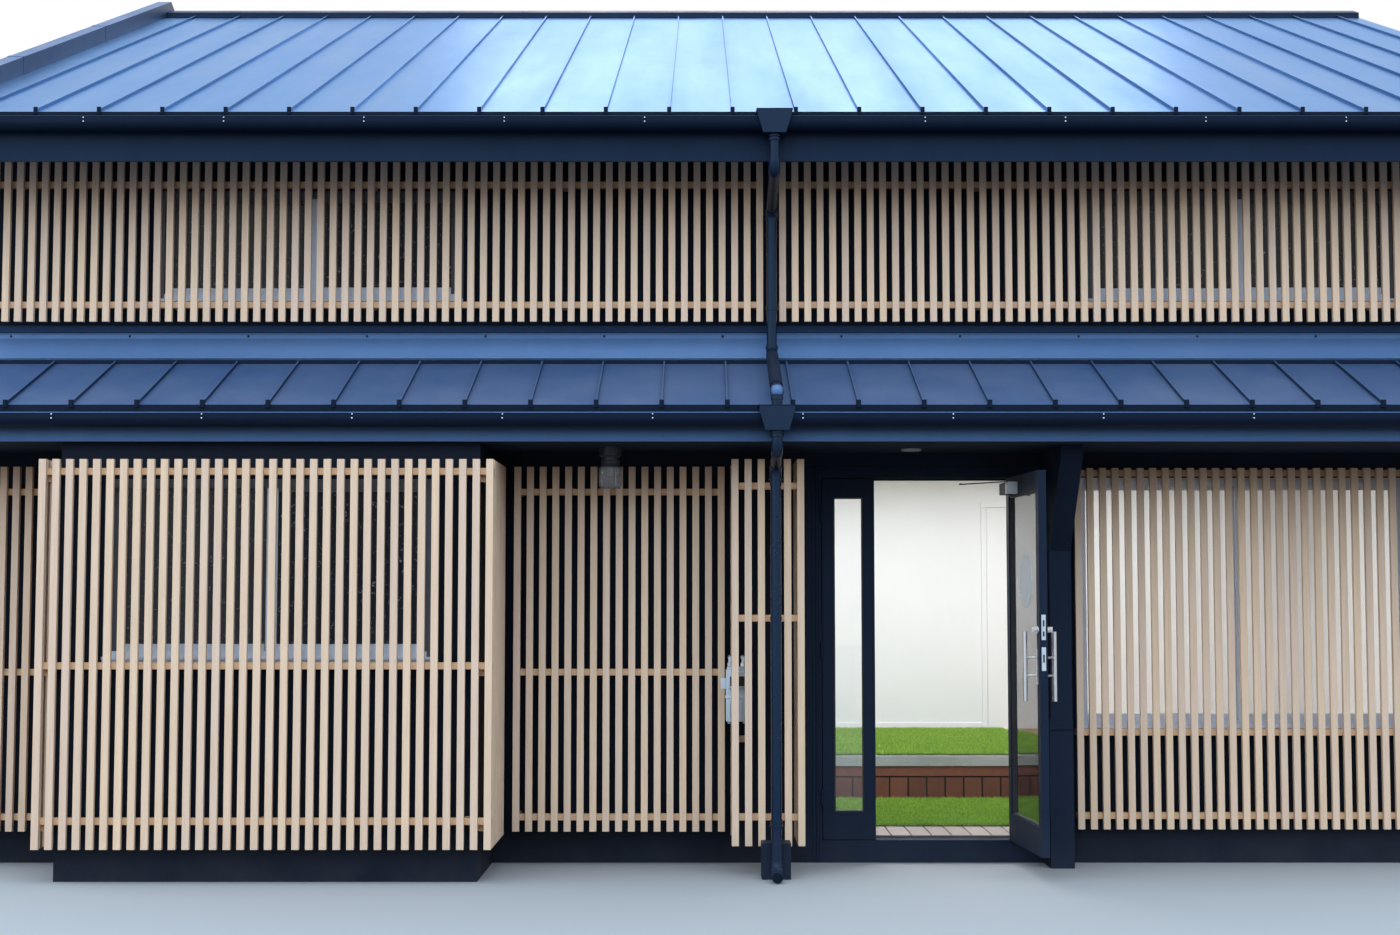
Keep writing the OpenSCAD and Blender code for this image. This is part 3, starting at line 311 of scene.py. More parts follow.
def shader_groups():
    if not GROUPS:
        GROUPS.update(grain=grain_group(), wear=wear_group(), weather=weather_group(),
                      speckle=speckle_group(), strokes=stroke_group())
    return GROUPS


class Finish:
    """One material: its tree, its Principled shader and the object's own coordinates."""

    def __init__(self, name):
        self.material = bpy.data.materials.new(name)
        self.material.use_nodes = True
        self.tree = self.material.node_tree
        self.shader = self.tree.nodes["Principled BSDF"]
        self.place = add(self.tree, "ShaderNodeTexCoord").outputs["Object"]

    def group(self, key, **wires):
        node = add(self.tree, "ShaderNodeGroup", node_tree=shader_groups()[key])
        named = {"Vector": self.place}
        named.update({label.replace("_", " "): value for label, value in wires.items()})
        for label, value in named.items():
            feed(self.tree, node.inputs[label], value)
        return node.outputs

    def mix(self, factor, a, b):
        return blend(self.tree, factor, a, b)

    def layered(self, base, *layers):
        """A colour under layers, each given as (mask, amount, colour)."""
        for mask, amount, colour in layers:
            base = self.mix(times(self.tree, mask, amount), base, colour)
        return base

    def remap(self, *numbers):
        return remap(self.tree, *numbers)

    def attribute(self, name, output):
        return add(self.tree, "ShaderNodeAttribute", attribute_name=name).outputs[output]

    def facing(self, letter):
        """How far the surface faces along an axis."""
        return axis(self.tree, add(self.tree, "ShaderNodeNewGeometry").outputs["Normal"], letter)

    def bump(self, height, strength, distance):
        self.set(Normal=out(self.tree, "ShaderNodeBump", {"Height": height, "Strength": strength,
                                                          "Distance": distance}))

    def set(self, **wires):
        for label, value in wires.items():
            feed(self.tree, self.shader.inputs[label.replace("_", " ")], value)


def scaled(colour, share):
    """A colour times one share, or times a share for each channel."""
    shares = share if isinstance(share, tuple) else (share,) * 3
    return tuple(min(1.0, c * s) for c, s in zip(colour, shares))


# Materials

def coated_metal(name, colour, roughness, dust=0.25, streaks=0.15, wear=0.35, gloss=0.5,
                 sheen=(1.0, 1.0, 1.0), dusty=(0.30, 0.31, 0.33)):
    """Painted sheet or profile, with worn edges, dust on top and streaks below."""
    m = Finish(name)
    weather = m.group("weather", Scale=2.5)
    speckle = m.group("speckle", Grain_Scale=220.0, Mottle_Scale=3.0)
    edges = m.group("wear", Radius=0.0025)
    base = m.layered(colour, (speckle["Mottle"], 0.35, scaled(colour, 0.72)),
                     (weather["Streaks"], streaks, scaled(colour, 1.7)),
                     (weather["Dust"], dust, dusty),
                     (weather["Splash"], 0.10, (0.15, 0.15, 0.15)),
                     (edges["Mask"], wear, scaled(colour, 3.0)))
    # The specular tint colours the paint's reflections; where it is blue it is a painted reflection of the sky.
    m.set(Base_Color=base, Metallic=0.0, Specular_IOR_Level=gloss, Specular_Tint=sheen,
          Roughness=m.remap(speckle["Mottle"], 0.0, 1.0, roughness - 0.06, roughness + 0.08))
    m.bump(speckle["Mottle"], 0.12, 0.002)
    return m.material


def roof_sheet(name, colour, roughness, metallic, slope_scale, pan_pitch, coat=0.0, seam=0.30):
    """Roofing sheet: waves and a tone in each pan, faint runs downwards, and painted shade on the sides of the
    seams.
    """
    m = Finish(name)
    weather = m.group("weather", Scale=1.3)
    drawn = vector_calc(m.tree, "MULTIPLY", m.place, (1.0, slope_scale, slope_scale))
    pans = m.group("speckle", Vector=drawn, Grain_Scale=9.0, Mottle_Scale=2.2)
    edges = m.group("wear", Radius=0.003)
    pan = calc(m.tree, "FLOOR", calc(m.tree, "DIVIDE", axis(m.tree, m.place, "X"), pan_pitch))
    own = add(m.tree, "ShaderNodeTexWhiteNoise", {"W": pan}, noise_dimensions="1D").outputs["Value"]
    base = m.layered(colour, (pans["Mottle"], 0.45, scaled(colour, 0.82)),
                     (own, 0.35, scaled(colour, 0.86)),
                     (weather["Streaks"], 0.22, scaled(colour, 1.2)),
                     (weather["Dust"], 0.12, (0.42, 0.44, 0.46)),
                     (edges["Mask"], 0.3, scaled(colour, 1.6)))
    # Faces that look along X, the seams' sides, take a darker copy of the colour: painted shade.
    upright = m.remap(calc(m.tree, "ABSOLUTE", m.facing("X")), 0.6, 0.9)
    base = m.mix(upright, base, scaled(colour, seam))
    # The blue specular tint is a painted reflection of the sky.
    m.set(Base_Color=base, Metallic=metallic, Coat_Weight=coat, Coat_Roughness=0.30,
          Specular_Tint=(0.54, 0.735, 1.0),
          Roughness=m.remap(pans["Mottle"], 0.0, 1.0, roughness - 0.07, roughness + 0.07))
    m.bump(pans["Height"], 0.25, 0.004)
    return m.material


def fascia_paint(name, colour, under):
    """Painted fascia boards whose undersides take the under colour as painted shade on the soffit, with a rougher
    finish.
    """
    m = Finish(name)
    speckle = m.group("speckle", Grain_Scale=220.0, Mottle_Scale=3.0)
    weather = m.group("weather", Scale=2.5)
    up = m.facing("Z")
    base = m.layered(colour, (speckle["Mottle"], 0.4, scaled(colour, 0.78)),
                     (weather["Streaks"], 0.2, scaled(colour, 1.3)))
    # Faces that look down take the under colour: painted shade on the soffit.
    base = m.mix(m.remap(up, -0.5, -0.9), base, under)
    # The blue specular tint is a painted reflection of the sky.
    m.set(Base_Color=base, Specular_IOR_Level=0.25, Specular_Tint=(0.42, 0.64, 1.0),
          Roughness=m.remap(up, -0.5, -0.9, 0.46, 1.0))
    m.bump(speckle["Mottle"], 0.12, 0.002)
    return m.material


def sawn_timber(name, colour, in_pieces=True, fineness=60.0):
    """Planed softwood: each piece has a tone of its own, and grain along its length."""
    m = Finish(name)
    if in_pieces:
        own = m.attribute("tone", "Fac")
        shift = times(m.tree, own, 37.0)
        vector = vector_calc(m.tree, "ADD", m.attribute("local_place", "Vector"), shift)
    else:
        own = m.group("speckle", Mottle_Scale=1.0)["Mottle"]
        vector = m.place
    grain = m.group("grain", Vector=vector, Fineness=fineness)
    weather = m.group("weather", Scale=4.0, Splash_Height=0.5)
    edges = m.group("wear", Radius=0.002, Breakup=60.0)
    pale = m.mix(own, scaled(colour, (0.95, 0.94, 0.95)), scaled(colour, (1.08, 1.04, 0.92)))
    base = m.layered(pale, (grain["Tone"], 0.4, scaled(colour, 0.84)),
                     (grain["Grain"], 0.38, scaled(colour, (0.70, 0.60, 0.46))),
                     (weather["Splash"], 0.35, (0.26, 0.20, 0.15)),
                     (edges["Mask"], 0.25, scaled(colour, 1.25)))
    m.set(Base_Color=base, Roughness=m.remap(grain["Grain"], 0.0, 1.0, 0.52, 0.68))
    m.bump(grain["Grain"], 0.30, 0.0008)
    return m.material


def mineral(name, colour, dark, mottle_scale, roughness, toned=0.0):
    """Plaster, tile or brick: mottled, matt, and with its own tone where it is laid in pieces."""
    m = Finish(name)
    speckle = m.group("speckle", Grain_Scale=260.0, Mottle_Scale=mottle_scale)
    weather = m.group("weather", Scale=3.0)
    base = m.layered(colour, (speckle["Mottle"], 0.5, scaled(colour, dark)))
    if toned:
        own = m.attribute("tone", "Fac")
        base = m.layered(base, (own, toned, scaled(colour, dark * 0.7)))
    base = m.layered(base, (weather["Dust"], 0.15, scaled(colour, 1.2)))
    m.set(Base_Color=base, Roughness=m.remap(speckle["Height"], 0.3, 0.7, roughness - 0.08,
                                             roughness + 0.06))
    m.bump(speckle["Height"], 0.25, 0.0012)
    return m.material


def bright_metal(name, colour, roughness, crosswise=False, metallic=1.0):
    """Bare or anodised metal with faint brushing, upright or along X."""
    m = Finish(name)
    x, y, z = add(m.tree, "ShaderNodeSeparateXYZ", {0: m.place}).outputs[:3]
    vector = combined(m.tree, z, y, x)
    grain = m.group("grain", Vector=vector if crosswise else m.place, Fineness=420.0, Stretch=0.02)
    speckle = m.group("speckle", Mottle_Scale=12.0)
    m.set(Base_Color=m.layered(colour, (speckle["Mottle"], 0.3, scaled(colour, 0.75))),
          Metallic=metallic,
          Roughness=m.remap(grain["Grain"], 0.0, 1.0, roughness - 0.05, roughness + 0.08))
    m.bump(grain["Grain"], 0.06, 0.0004)
    return m.material


def window_glass(name, colour, transmission, roughness, pressed=False):
    m = Finish(name)
    speckle = m.group("speckle", Mottle_Scale=2.0)
    if pressed:
        strokes = m.group("strokes", Scale=22.0)
        base = m.mix(strokes["Strokes"], colour, (0.26, 0.29, 0.36))
        m.bump(strokes["Height"], 0.5, 0.0008)
    else:
        base = m.layered(colour, (speckle["Mottle"], 0.4, scaled(colour, 0.94)))
    m.set(Base_Color=base, Transmission_Weight=transmission, IOR=1.45,
          Roughness=m.remap(speckle["Mottle"], 0.0, 1.0, roughness, roughness + 0.04))
    return m.material


def turf_blades(name, colour):
    """Blades that are darker at the root, in patches and each with its own tone."""
    m = Finish(name)
    own = m.attribute("tone", "Fac")
    z = axis(m.tree, m.attribute("local_place", "Vector"), "Z")
    patches = m.group("speckle", Mottle_Scale=7.0)["Mottle"]
    base = m.mix(own, scaled(colour, 0.8), scaled(colour, (1.9, 1.4, 1.6)))
    base = m.layered(base, (patches, 0.45, scaled(colour, (0.5, 0.6, 0.6))))
    base = m.mix(m.remap(z, 0.0, 0.02), scaled(colour, 0.35), base)
    m.set(Base_Color=base, Roughness=0.5)
    return m.material


def black_rubber(name):
    m = Finish(name)
    speckle = m.group("speckle", Grain_Scale=300.0, Mottle_Scale=20.0)
    m.set(Base_Color=m.mix(speckle["Mottle"], (0.008, 0.008, 0.009), (0.02, 0.02, 0.021)),
          Roughness=m.remap(speckle["Height"], 0.3, 0.7, 0.5, 0.7))
    return m.material


def bare_plate(name):
    m = Finish(name)
    speckle = m.group("speckle", Grain_Scale=300.0, Mottle_Scale=14.0)
    m.set(Base_Color=m.layered((0.46, 0.49, 0.51), (speckle["Mottle"], 0.5, (0.38, 0.41, 0.44))),
          Roughness=m.remap(speckle["Height"], 0.3, 0.7, 0.35, 0.5))
    return m.material


MATERIALS = {}


def make_materials(colours, pan_pitch):
    c = {key: tuple(getattr(colours, key)) for key in colours.__annotations__}

    def dark_paint(name, colour, roughness, gloss, dusty, **own):
        """Dark paint whose reflections are tinted blue, as a painted reflection of the sky."""
        return coated_metal(name, colour, roughness, gloss=gloss, dusty=dusty,
                            **{"dust": 0.10, "sheen": (0.36, 0.62, 1.0), **own})

    MATERIALS.update(
        timber=sawn_timber("pale_timber", c["timber"]),
        # A darker, warmer copy of the timber for the rails and spacers: painted shade behind the slats.
        rail_timber=sawn_timber("rail_timber", scaled(c["timber"], (0.98, 0.86, 0.70))),
        floor_board=sawn_timber("floor_board", c["board"]),
        deck=sawn_timber("floor_deck", c["board"], False, 40.0),
        dark_wall=dark_paint("dark_wall_panel", c["dark_wall"], 0.55, 0.15, (0.04, 0.06, 0.09)),
        navy=dark_paint("navy_coated_metal", c["navy"], 0.42, 0.24, (0.05, 0.08, 0.14), dust=0.15),
        # A lighter copy of the navy paint: painted light on the band over the flashing, which sits in shade.
        band=dark_paint("wall_band_paint", scaled(c["navy"], 2.4), 0.45, 0.3, (0.05, 0.08, 0.14)),
        # A darker copy of the navy paint: painted shade on the gutters' faces and in the drip edges' gaps.
        gutter=dark_paint("gutter_paint", c["gutter"], 0.45, 0.16, (0.04, 0.06, 0.10)),
        pipe=dark_paint("pipe_paint", c["pipe"], 0.24, 0.45, (0.05, 0.08, 0.14), dust=0.05,
                        streaks=0.05, wear=0.1),
        door=dark_paint("door_paint", c["door"], 0.55, 0.12, (0.05, 0.06, 0.09),
                        sheen=(0.50, 0.70, 1.0)),
        # The pent fascia takes its lighter colour as painted light, and the dark wall colour on its underside as
        # painted shade.
        pent_paint=fascia_paint("pent_fascia_paint", c["fascia"], c["dark_wall"]),
        slate=roof_sheet("slate_roofing_sheet", c["slate"], 0.42, 0.30, 0.25, pan_pitch),
        flashing=roof_sheet("flashing_sheet", c["flashing"], 0.40, 0.35, 0.25, 5 * pan_pitch),
        roof=roof_sheet("blue_grey_roofing_sheet", c["roof"], 0.34, 0.90, 0.15, pan_pitch, coat=0.12,
                        seam=0.35),
        plaster=mineral("white_plaster", c["plaster"], 0.93, 2.0, 0.8),
        concrete=mineral("grout_bed", c["grout"], 0.6, 9.0, 0.85),
        tile=mineral("clay_tile", c["tile"], 0.7, 12.0, 0.5, 0.5),
        brick=mineral("red_brown_brick", c["brick"], 0.55, 18.0, 0.62, 0.6),
        aluminium=bright_metal("satin_aluminium", c["aluminium"], 0.38, metallic=0.3),
        # A darker, duller copy of the aluminium: painted shade on window frames under the eaves and behind the
        # lattices.
        dim_aluminium=bright_metal("dim_aluminium", scaled(c["aluminium"], 0.14), 0.55, metallic=0.0),
        steel=bright_metal("brushed_steel", c["steel"], 0.26),
        nosing=bright_metal("nosing_steel", c["steel"], 0.30, crosswise=True),
        meter=coated_metal("meter_case_paint", c["meter"], 0.42, dust=0.3, wear=0.2),
        clear_glass=window_glass("clear_glass", (0.99, 1.0, 1.0), 1.0, 0.0),
        # The patterned glass is near-black: painted shade of the dark rooms behind it.
        frosted_glass=window_glass("patterned_glass", (0.020, 0.024, 0.036), 0.25, 0.22, True),
        lamp_glass=window_glass("ribbed_lamp_glass", (0.30, 0.31, 0.33), 0.80, 0.08),
        turf=turf_blades("turf_blade", c["turf"]),
        rubber=black_rubber("black_rubber"),
        lamp_cap=coated_metal("lamp_cap_paint", (0.045, 0.047, 0.068), 0.40, dust=0.1, gloss=0.3),
        plate=bare_plate("bare_plate"),
    )


# Geometry Nodes trees for what repeats

def stored(tree, geometry, name, value, domain="POINT", data_type="FLOAT_VECTOR"):
    """Keeps a value on the geometry as a named attribute."""
    return out(tree, "GeometryNodeStoreNamedAttribute",
               {"Geometry": geometry, "Name": name, "Value": value}, data_type=data_type,
               domain=domain)


def with_own_place(tree, geometry):
    return stored(tree, geometry, "local_place", out(tree, "GeometryNodeInputPosition"))


def joined(tree, *parts):
    node = add(tree, "GeometryNodeJoinGeometry")
    for part in parts:
        tree.links.new(part, node.inputs[0])
    return node.outputs[0]


def painted(tree, given, geometry):
    return out(tree, "GeometryNodeSetMaterial", {"Geometry": geometry, "Material": given["Material"]})


def stock_points(tree, given):
    """Points in rows: Start, then Step A within a row and Step B from row to row."""
    count = times(tree, given["Count A"], given["Count B"])
    index = out(tree, "GeometryNodeInputIndex")
    row = calc(tree, "FLOOR", calc(tree, "DIVIDE", index, given["Count A"]))
    place = calc(tree, "SUBTRACT", index, times(tree, row, given["Count A"]))

    def stepped(vector, amount):
        return out(tree, "ShaderNodeVectorMath", {0: vector, "Scale": amount}, operation="SCALE")
    offset = vector_calc(tree, "ADD", stepped(given["Step A"], place), stepped(given["Step B"], row))
    where = vector_calc(tree, "ADD", given["Start"], offset)
    return out(tree, "GeometryNodePoints", {"Count": count, "Position": where}), place


ROW_INPUTS = [
    ("Geometry", GEOMETRY, None), ("Count A", INTEGER, 1), ("Count B", INTEGER, 1),
    ("Start", VECTOR, (0, 0, 0)), ("Step A", VECTOR, (0, 0, 0)), ("Step B", VECTOR, (0, 0, 0)),
    ("Turn", VECTOR, (0, 0, 0)), ("Seed", INTEGER, 0),
]


def place_instances(tree, given, result, points, instance, scale):
    """Puts the instance on each point, gives each a tone, and joins it to what came before."""
    turned = out(tree, "FunctionNodeEulerToRotation", {0: given["Turn"]})
    placed = out(tree, "GeometryNodeInstanceOnPoints",
                 {"Points": points, "Instance": with_own_place(tree, instance), "Rotation": turned,
                  "Scale": scale})
    tone = add(tree, "FunctionNodeRandomValue", {"Seed": given["Seed"]}, data_type="FLOAT").outputs[1]
    toned = stored(tree, placed, "tone", tone, "INSTANCE", "FLOAT")
    real = out(tree, "GeometryNodeRealizeInstances", {0: toned})
    feed(tree, result["Geometry"], joined(tree, painted(tree, given, real), given["Geometry"]))


def bar_tree():
    """Rows of chamfered bars that stand along their own Z; Peak makes the middle ones longer."""
    tree, given, result = shape_tree(
        "Rows of Bars", ROW_INPUTS + [("Size", VECTOR, (0.04, 0.03, 1.0)), ("Edge", FLOAT, 0.0015),
                                      ("Peak", FLOAT, 0.0)])
    points, place = stock_points(tree, given)
    size = add(tree, "ShaderNodeSeparateXYZ", {0: given["Size"]}).outputs
    outline = out(tree, "GeometryNodeCurvePrimitiveQuadrilateral", {"Width": size[0], "Height": size[1]})
    chamfered = out(tree, "GeometryNodeFilletCurve",
                    {"Curve": outline, "Count": 1, "Radius": given["Edge"]}, mode="POLY")
    end = out(tree, "GeometryNodeFillCurve", {"Curve": chamfered}, mode="NGONS")
    top = combined(tree, z=size[2])
    sides = out(tree, "GeometryNodeExtrudeMesh", {"Mesh": end, "Offset": top, "Offset Scale": 1.0},
                mode="FACES")
    closed = joined(tree, out(tree, "GeometryNodeFlipFaces", {0: end}), sides)
    bar = out(tree, "GeometryNodeMergeByDistance", {0: closed, "Distance": 1e-5})
    last = calc(tree, "SUBTRACT", given["Count A"], 1.0)
    share = calc(tree, "DIVIDE", times(tree, place, 2.0), calc(tree, "MAXIMUM", last, 1.0))
    near = calc(tree, "SUBTRACT", 1.0, calc(tree, "ABSOLUTE", calc(tree, "SUBTRACT", share, 1.0)))
    grown = calc(tree, "ADD", 1.0, times(tree, near, given["Peak"]))
    place_instances(tree, given, result, points, bar, combined(tree, 1.0, 1.0, grown))
    return tree


def stud_tree():
    """Rows of round heads, such as screws, that stand along their own Z."""
    tree, given, result = shape_tree(
        "Rows of Studs", ROW_INPUTS + [("Radius", FLOAT, 0.004), ("Height", FLOAT, 0.003),
                                       ("Taper", FLOAT, 0.65), ("Sides", INTEGER, 10)])
    points, _ = stock_points(tree, given)
    head = out(tree, "GeometryNodeMeshCone",
               {"Vertices": given["Sides"], "Depth": given["Height"],
                "Radius Bottom": given["Radius"],
                "Radius Top": times(tree, given["Radius"], given["Taper"])})
    place_instances(tree, given, result, points, head, (1.0, 1.0, 1.0))
    return tree


def turf_tree():
    """Blades scattered over the faces of a mat, each with its own lean, turn and tone."""
    tree, given, result = shape_tree(
        "Turf",
        [("Geometry", GEOMETRY, None), ("Density", FLOAT, 9000.0), ("Height", FLOAT, 0.022),
         ("Width", FLOAT, 0.0022), ("Lean", FLOAT, 0.55), ("Seed", INTEGER, 3)])
    points = out(tree, "GeometryNodeDistributePointsOnFaces",
                 {"Mesh": given["Geometry"], "Density": given["Density"], "Seed": given["Seed"]})
    blade = out(tree, "GeometryNodeMeshCone",
                {"Vertices": 3, "Depth": given["Height"], "Radius Bottom": given["Width"],
                 "Radius Top": 0.0}, fill_type="NONE")
    local = with_own_place(tree, blade)
    lean = times(tree, given["Lean"], -1.0)
    least = combined(tree, lean, lean)
    most = combined(tree, given["Lean"], given["Lean"], math.tau)
    euler = out(tree, "FunctionNodeRandomValue", {0: least, 1: most, "Seed": given["Seed"]},
                data_type="FLOAT_VECTOR")
    turned = out(tree, "FunctionNodeEulerToRotation", {0: euler})
    grown = add(tree, "FunctionNodeRandomValue", {2: 0.7, 3: 1.25, "Seed": 11},
                data_type="FLOAT").outputs[1]
    placed = out(tree, "GeometryNodeInstanceOnPoints",
                 {"Points": points, "Instance": local, "Rotation": turned, "Scale": grown})
    tone = add(tree, "FunctionNodeRandomValue", {"Seed": 5}, data_type="FLOAT").outputs[1]
    toned = stored(tree, placed, "tone", tone, "INSTANCE", "FLOAT")
    real = out(tree, "GeometryNodeRealizeInstances", {0: toned})
    feed(tree, result["Geometry"], painted(tree, given, joined(tree, real, given["Geometry"])))
    return tree


def ribbed_jar_tree():
    """An upright jar whose wall is drawn in and out by ribs, narrower at its foot."""
    tree, given, result = shape_tree(
        "Ribbed Jar",
        [("Geometry", GEOMETRY, None), ("Radius", FLOAT, 0.066), ("Height", FLOAT, 0.17),
         ("Ribs", INTEGER, 24), ("Rib Depth", FLOAT, 0.035), ("Foot", FLOAT, 0.82)])
    wall = out(tree, "GeometryNodeMeshCylinder",
               {"Vertices": times(tree, given["Ribs"], 6.0), "Side Segments": 16,
                "Fill Segments": 4, "Radius": given["Radius"], "Depth": given["Height"]})
    position = out(tree, "GeometryNodeInputPosition")
    x, y, z = add(tree, "ShaderNodeSeparateXYZ", {0: position}).outputs[:3]
    wave = calc(tree, "COSINE", times(tree, calc(tree, "ARCTAN2", y, x), given["Ribs"]))
    swell = times(tree, wave, given["Rib Depth"])
    share = calc(tree, "ADD", calc(tree, "DIVIDE", z, given["Height"]), 0.5)
    rise = add(tree, "ShaderNodeMapRange", {"Value": share, "From Max": 0.22, "To Min": given["Foot"],
                                            "To Max": 1.0}, interpolation_type="SMOOTHSTEP")
    factor = times(tree, calc(tree, "ADD", 1.0, swell), rise.outputs["Result"])
    moved = combined(tree, times(tree, x, factor), times(tree, y, factor), z)
    shaped = out(tree, "GeometryNodeSetPosition", {"Geometry": wall, "Position": moved})
    feed(tree, result["Geometry"], painted(tree, given, shaped))
    return tree


TREES = {}


def geometry_trees():
    if not TREES:
        TREES.update(bars=bar_tree(), studs=stud_tree(), turf=turf_tree(), jar=ribbed_jar_tree())
    return TREES


def grow(name, layers, base=None):
    """Runs Geometry Nodes layers, each (tree, values), and returns one plain mesh object."""
    mesh = base or bpy.data.meshes.new(name)
    maker = bpy.data.objects.new(name, mesh)
    bpy.context.scene.collection.objects.link(maker)
    for key, values in layers:
        tree = geometry_trees()[key]
        modifier = maker.modifiers.new(key, "NODES")
        modifier.node_group = tree
        sockets = {item.name: item.identifier for item in tree.interface.items_tree
                   if item.in_out == "INPUT"}
        for label, value in values.items():
            modifier[sockets[label]] = value
    depsgraph = bpy.context.evaluated_depsgraph_get()
    plain = bpy.data.meshes.new_from_object(maker.evaluated_get(depsgraph),
                                            preserve_all_data_layers=True, depsgraph=depsgraph)
    maker.modifiers.clear()
    maker.data = plain
    plain.name = name
    if not plain.polygons:
        raise RuntimeError(f"{name} came out empty")
    return maker


def row_values(start, material, count, step, turn, rows, row_step, seed=1):
    return {"Start": tuple(start), "Material": MATERIALS[material], "Count A": count,
            "Step A": tuple(step), "Turn": tuple(turn), "Count B": rows, "Step B": tuple(row_step),
            "Seed": seed}


def bars(size, start, material, count=1, step=(0, 0, 0), turn=(0, 0, 0), rows=1,
         row_step=(0, 0, 0), edge=0.0015, peak=0.0, seed=1):
    return "bars", {**row_values(start, material, count, step, turn, rows, row_step, seed),
                    "Size": tuple(size), "Edge": edge, "Peak": peak}


def studs(radius, height, start, material, count, step, turn, rows=1, row_step=(0, 0, 0)):
    return "studs", {**row_values(start, material, count, step, turn, rows, row_step),
                     "Radius": radius, "Height": height}


def settle(piece, body, slot, *replaced):
    """Puts a finished piece on its body and hides the nodes that it replaces; the slot argument is not used."""
    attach(piece, body)
    if replaced:
        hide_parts(*replaced)


def plant(name, layers, slot, *replaced):
    """Grows a piece from Geometry Nodes layers on the fixed body."""
    settle(grow(name, layers), "root", slot, *replaced)


class Piece:
    """A mesh built from boxes, rods, prisms and turned profiles, in the frame's own place."""

    def __init__(self, name):
        self.name = name
        self.bm = bmesh.new()

    def box(self, corner, opposite):
        middle = [(a + b) / 2 for a, b in zip(corner, opposite)]
        size = [abs(b - a) for a, b in zip(corner, opposite)]
        matrix = Matrix.Translation(middle) @ Matrix.Diagonal((*size, 1.0))
        bmesh.ops.create_cube(self.bm, size=1.0, matrix=matrix)

    def rod(self, a, b, radius, sides=24, end_radius=None):
        a, b = Vector(a), Vector(b)
        turn = (b - a).to_track_quat("Z", "Y").to_matrix().to_4x4()
        bmesh.ops.create_cone(self.bm, cap_ends=True, segments=sides, radius1=radius,
                              radius2=radius if end_radius is None else end_radius,
                              depth=(b - a).length,
                              matrix=Matrix.Translation((a + b) / 2) @ turn)

    def prism(self, outline, x0, x1):
        """An outline of (Y, Z) points run along X; points go round so that faces look out."""
        rings = [[self.bm.verts.new((x, y, z)) for y, z in outline] for x in (x0, x1)]
        count = len(outline)
        for i in range(count):
            j = (i + 1) % count
            self.bm.faces.new((rings[0][i], rings[0][j], rings[1][j], rings[1][i]))
        self.bm.faces.new(rings[0][::-1])
        self.bm.faces.new(rings[1])

    def turned(self, centre, profile, sides=48):
        """A profile of (radius, Z) points turned round the upright line through centre."""
        x, y = centre
        rings = []
        for radius, z in profile:
            angles = [math.tau * i / sides for i in range(sides if radius else 1)]
            rings.append([self.bm.verts.new((x + radius * math.cos(angle),
                                             y + radius * math.sin(angle), z)) for angle in angles])
        for lower, upper in zip(rings, rings[1:]):
            for i in range(sides):
                corners = [lower[i % len(lower)], lower[(i + 1) % len(lower)],
                           upper[(i + 1) % len(upper)], upper[i % len(upper)]]
                face = list(dict.fromkeys(corners))
                if len(face) > 2:
                    self.bm.faces.new(face)

    def done(self, material, slot, body="root", bevel=0.0, matrix=None, smooth=False,
             replaced=()):
        bmesh.ops.recalc_face_normals(self.bm, faces=self.bm.faces)
        if matrix:
            bmesh.ops.transform(self.bm, matrix=matrix, verts=self.bm.verts)
        if bevel:
            sharp = [e for e in self.bm.edges
                     if len(e.link_faces) == 2 and e.calc_face_angle(0.0) > math.radians(35)]
            bmesh.ops.bevel(self.bm, geom=sharp, offset=bevel, segments=2, profile=0.6,
                            affect="EDGES", clamp_overlap=True)
        mesh = bpy.data.meshes.new(self.name)
        self.bm.to_mesh(mesh)
        self.bm.free()
        mesh.materials.append(MATERIALS[material])
        if smooth:
            mesh.shade_smooth()
            mesh.set_sharp_from_angle(angle=math.radians(35))
        piece = bpy.data.objects.new(self.name, mesh)
        bpy.context.scene.collection.objects.link(piece)
        settle(piece, body, slot, *replaced)


# Places that several pieces share, taken from the frame

def low(node):
    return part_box(node)[0]


def high(node):
    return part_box(node)[1]


FRONT = low("front_wall_left").y
BACK = high("rear_wall").y
WALL_T = high("front_wall_left").y - FRONT
LEFT = low("left_party_wall").x
RIGHT = high("right_party_wall").x
IN_LEFT, IN_RIGHT = LEFT + WALL_T, RIGHT - WALL_T
IN_FRONT, IN_BACK = FRONT + WALL_T, BACK - WALL_T
ENTRY_Z = high("entry_floor").z
RAISED_Z = high("raised_floor").z
DECK_FRONT = low("raised_floor").y
RISER_Y = low("step_riser").y
CEILING = low("upper_floor").z
PIPE_X = (low("upper_downpipe").x + high("upper_downpipe").x) / 2
MAIN_SLOPE, PENT_SLOPE = 0.41, 0.40
EAVE_Z, PENT_Z = 4.350, 2.632
# The main roof's thickness, and the depth and thickness of its lip at the eave
ROOF_T, LIP_D, LIP_T = 0.150, 0.060, 0.040
# The rims of the gutters, and the hoppers at them, each (middle's Y, rim's Z)
MAIN_RIM, PENT_RIM = EAVE_Z - 0.045, PENT_Z - 0.050
HOPPERS = ((-5.120, 4.340), (-5.400, 2.617))
HOPPER_HALF_W = 0.0975


WINDOW_W = 1.820
# Foot and height of the rear windows downstairs, and of every window upstairs
LOWER_WINDOW, UPPER_WINDOW = (1.225, 0.990), (3.350, 0.660)


def window_pair(storey, face, side):
    foot, height = storey
    return tuple((x, foot, WINDOW_W, height, face, side) for x in (-3.725, 1.885))


# Windows, each (left, foot, width, height, wall face, 1 at the front or -1 at the back)
FRONT_WINDOWS = ((-3.775, 1.225, WINDOW_W, 0.990, low("bay_front_wall").y, 1),
                 (1.785, 0.795, 1.940, 1.475, FRONT, 1), *window_pair(UPPER_WINDOW, FRONT, 1))
REAR_WINDOWS = window_pair(LOWER_WINDOW, BACK, -1) + window_pair(UPPER_WINDOW, BACK, -1)


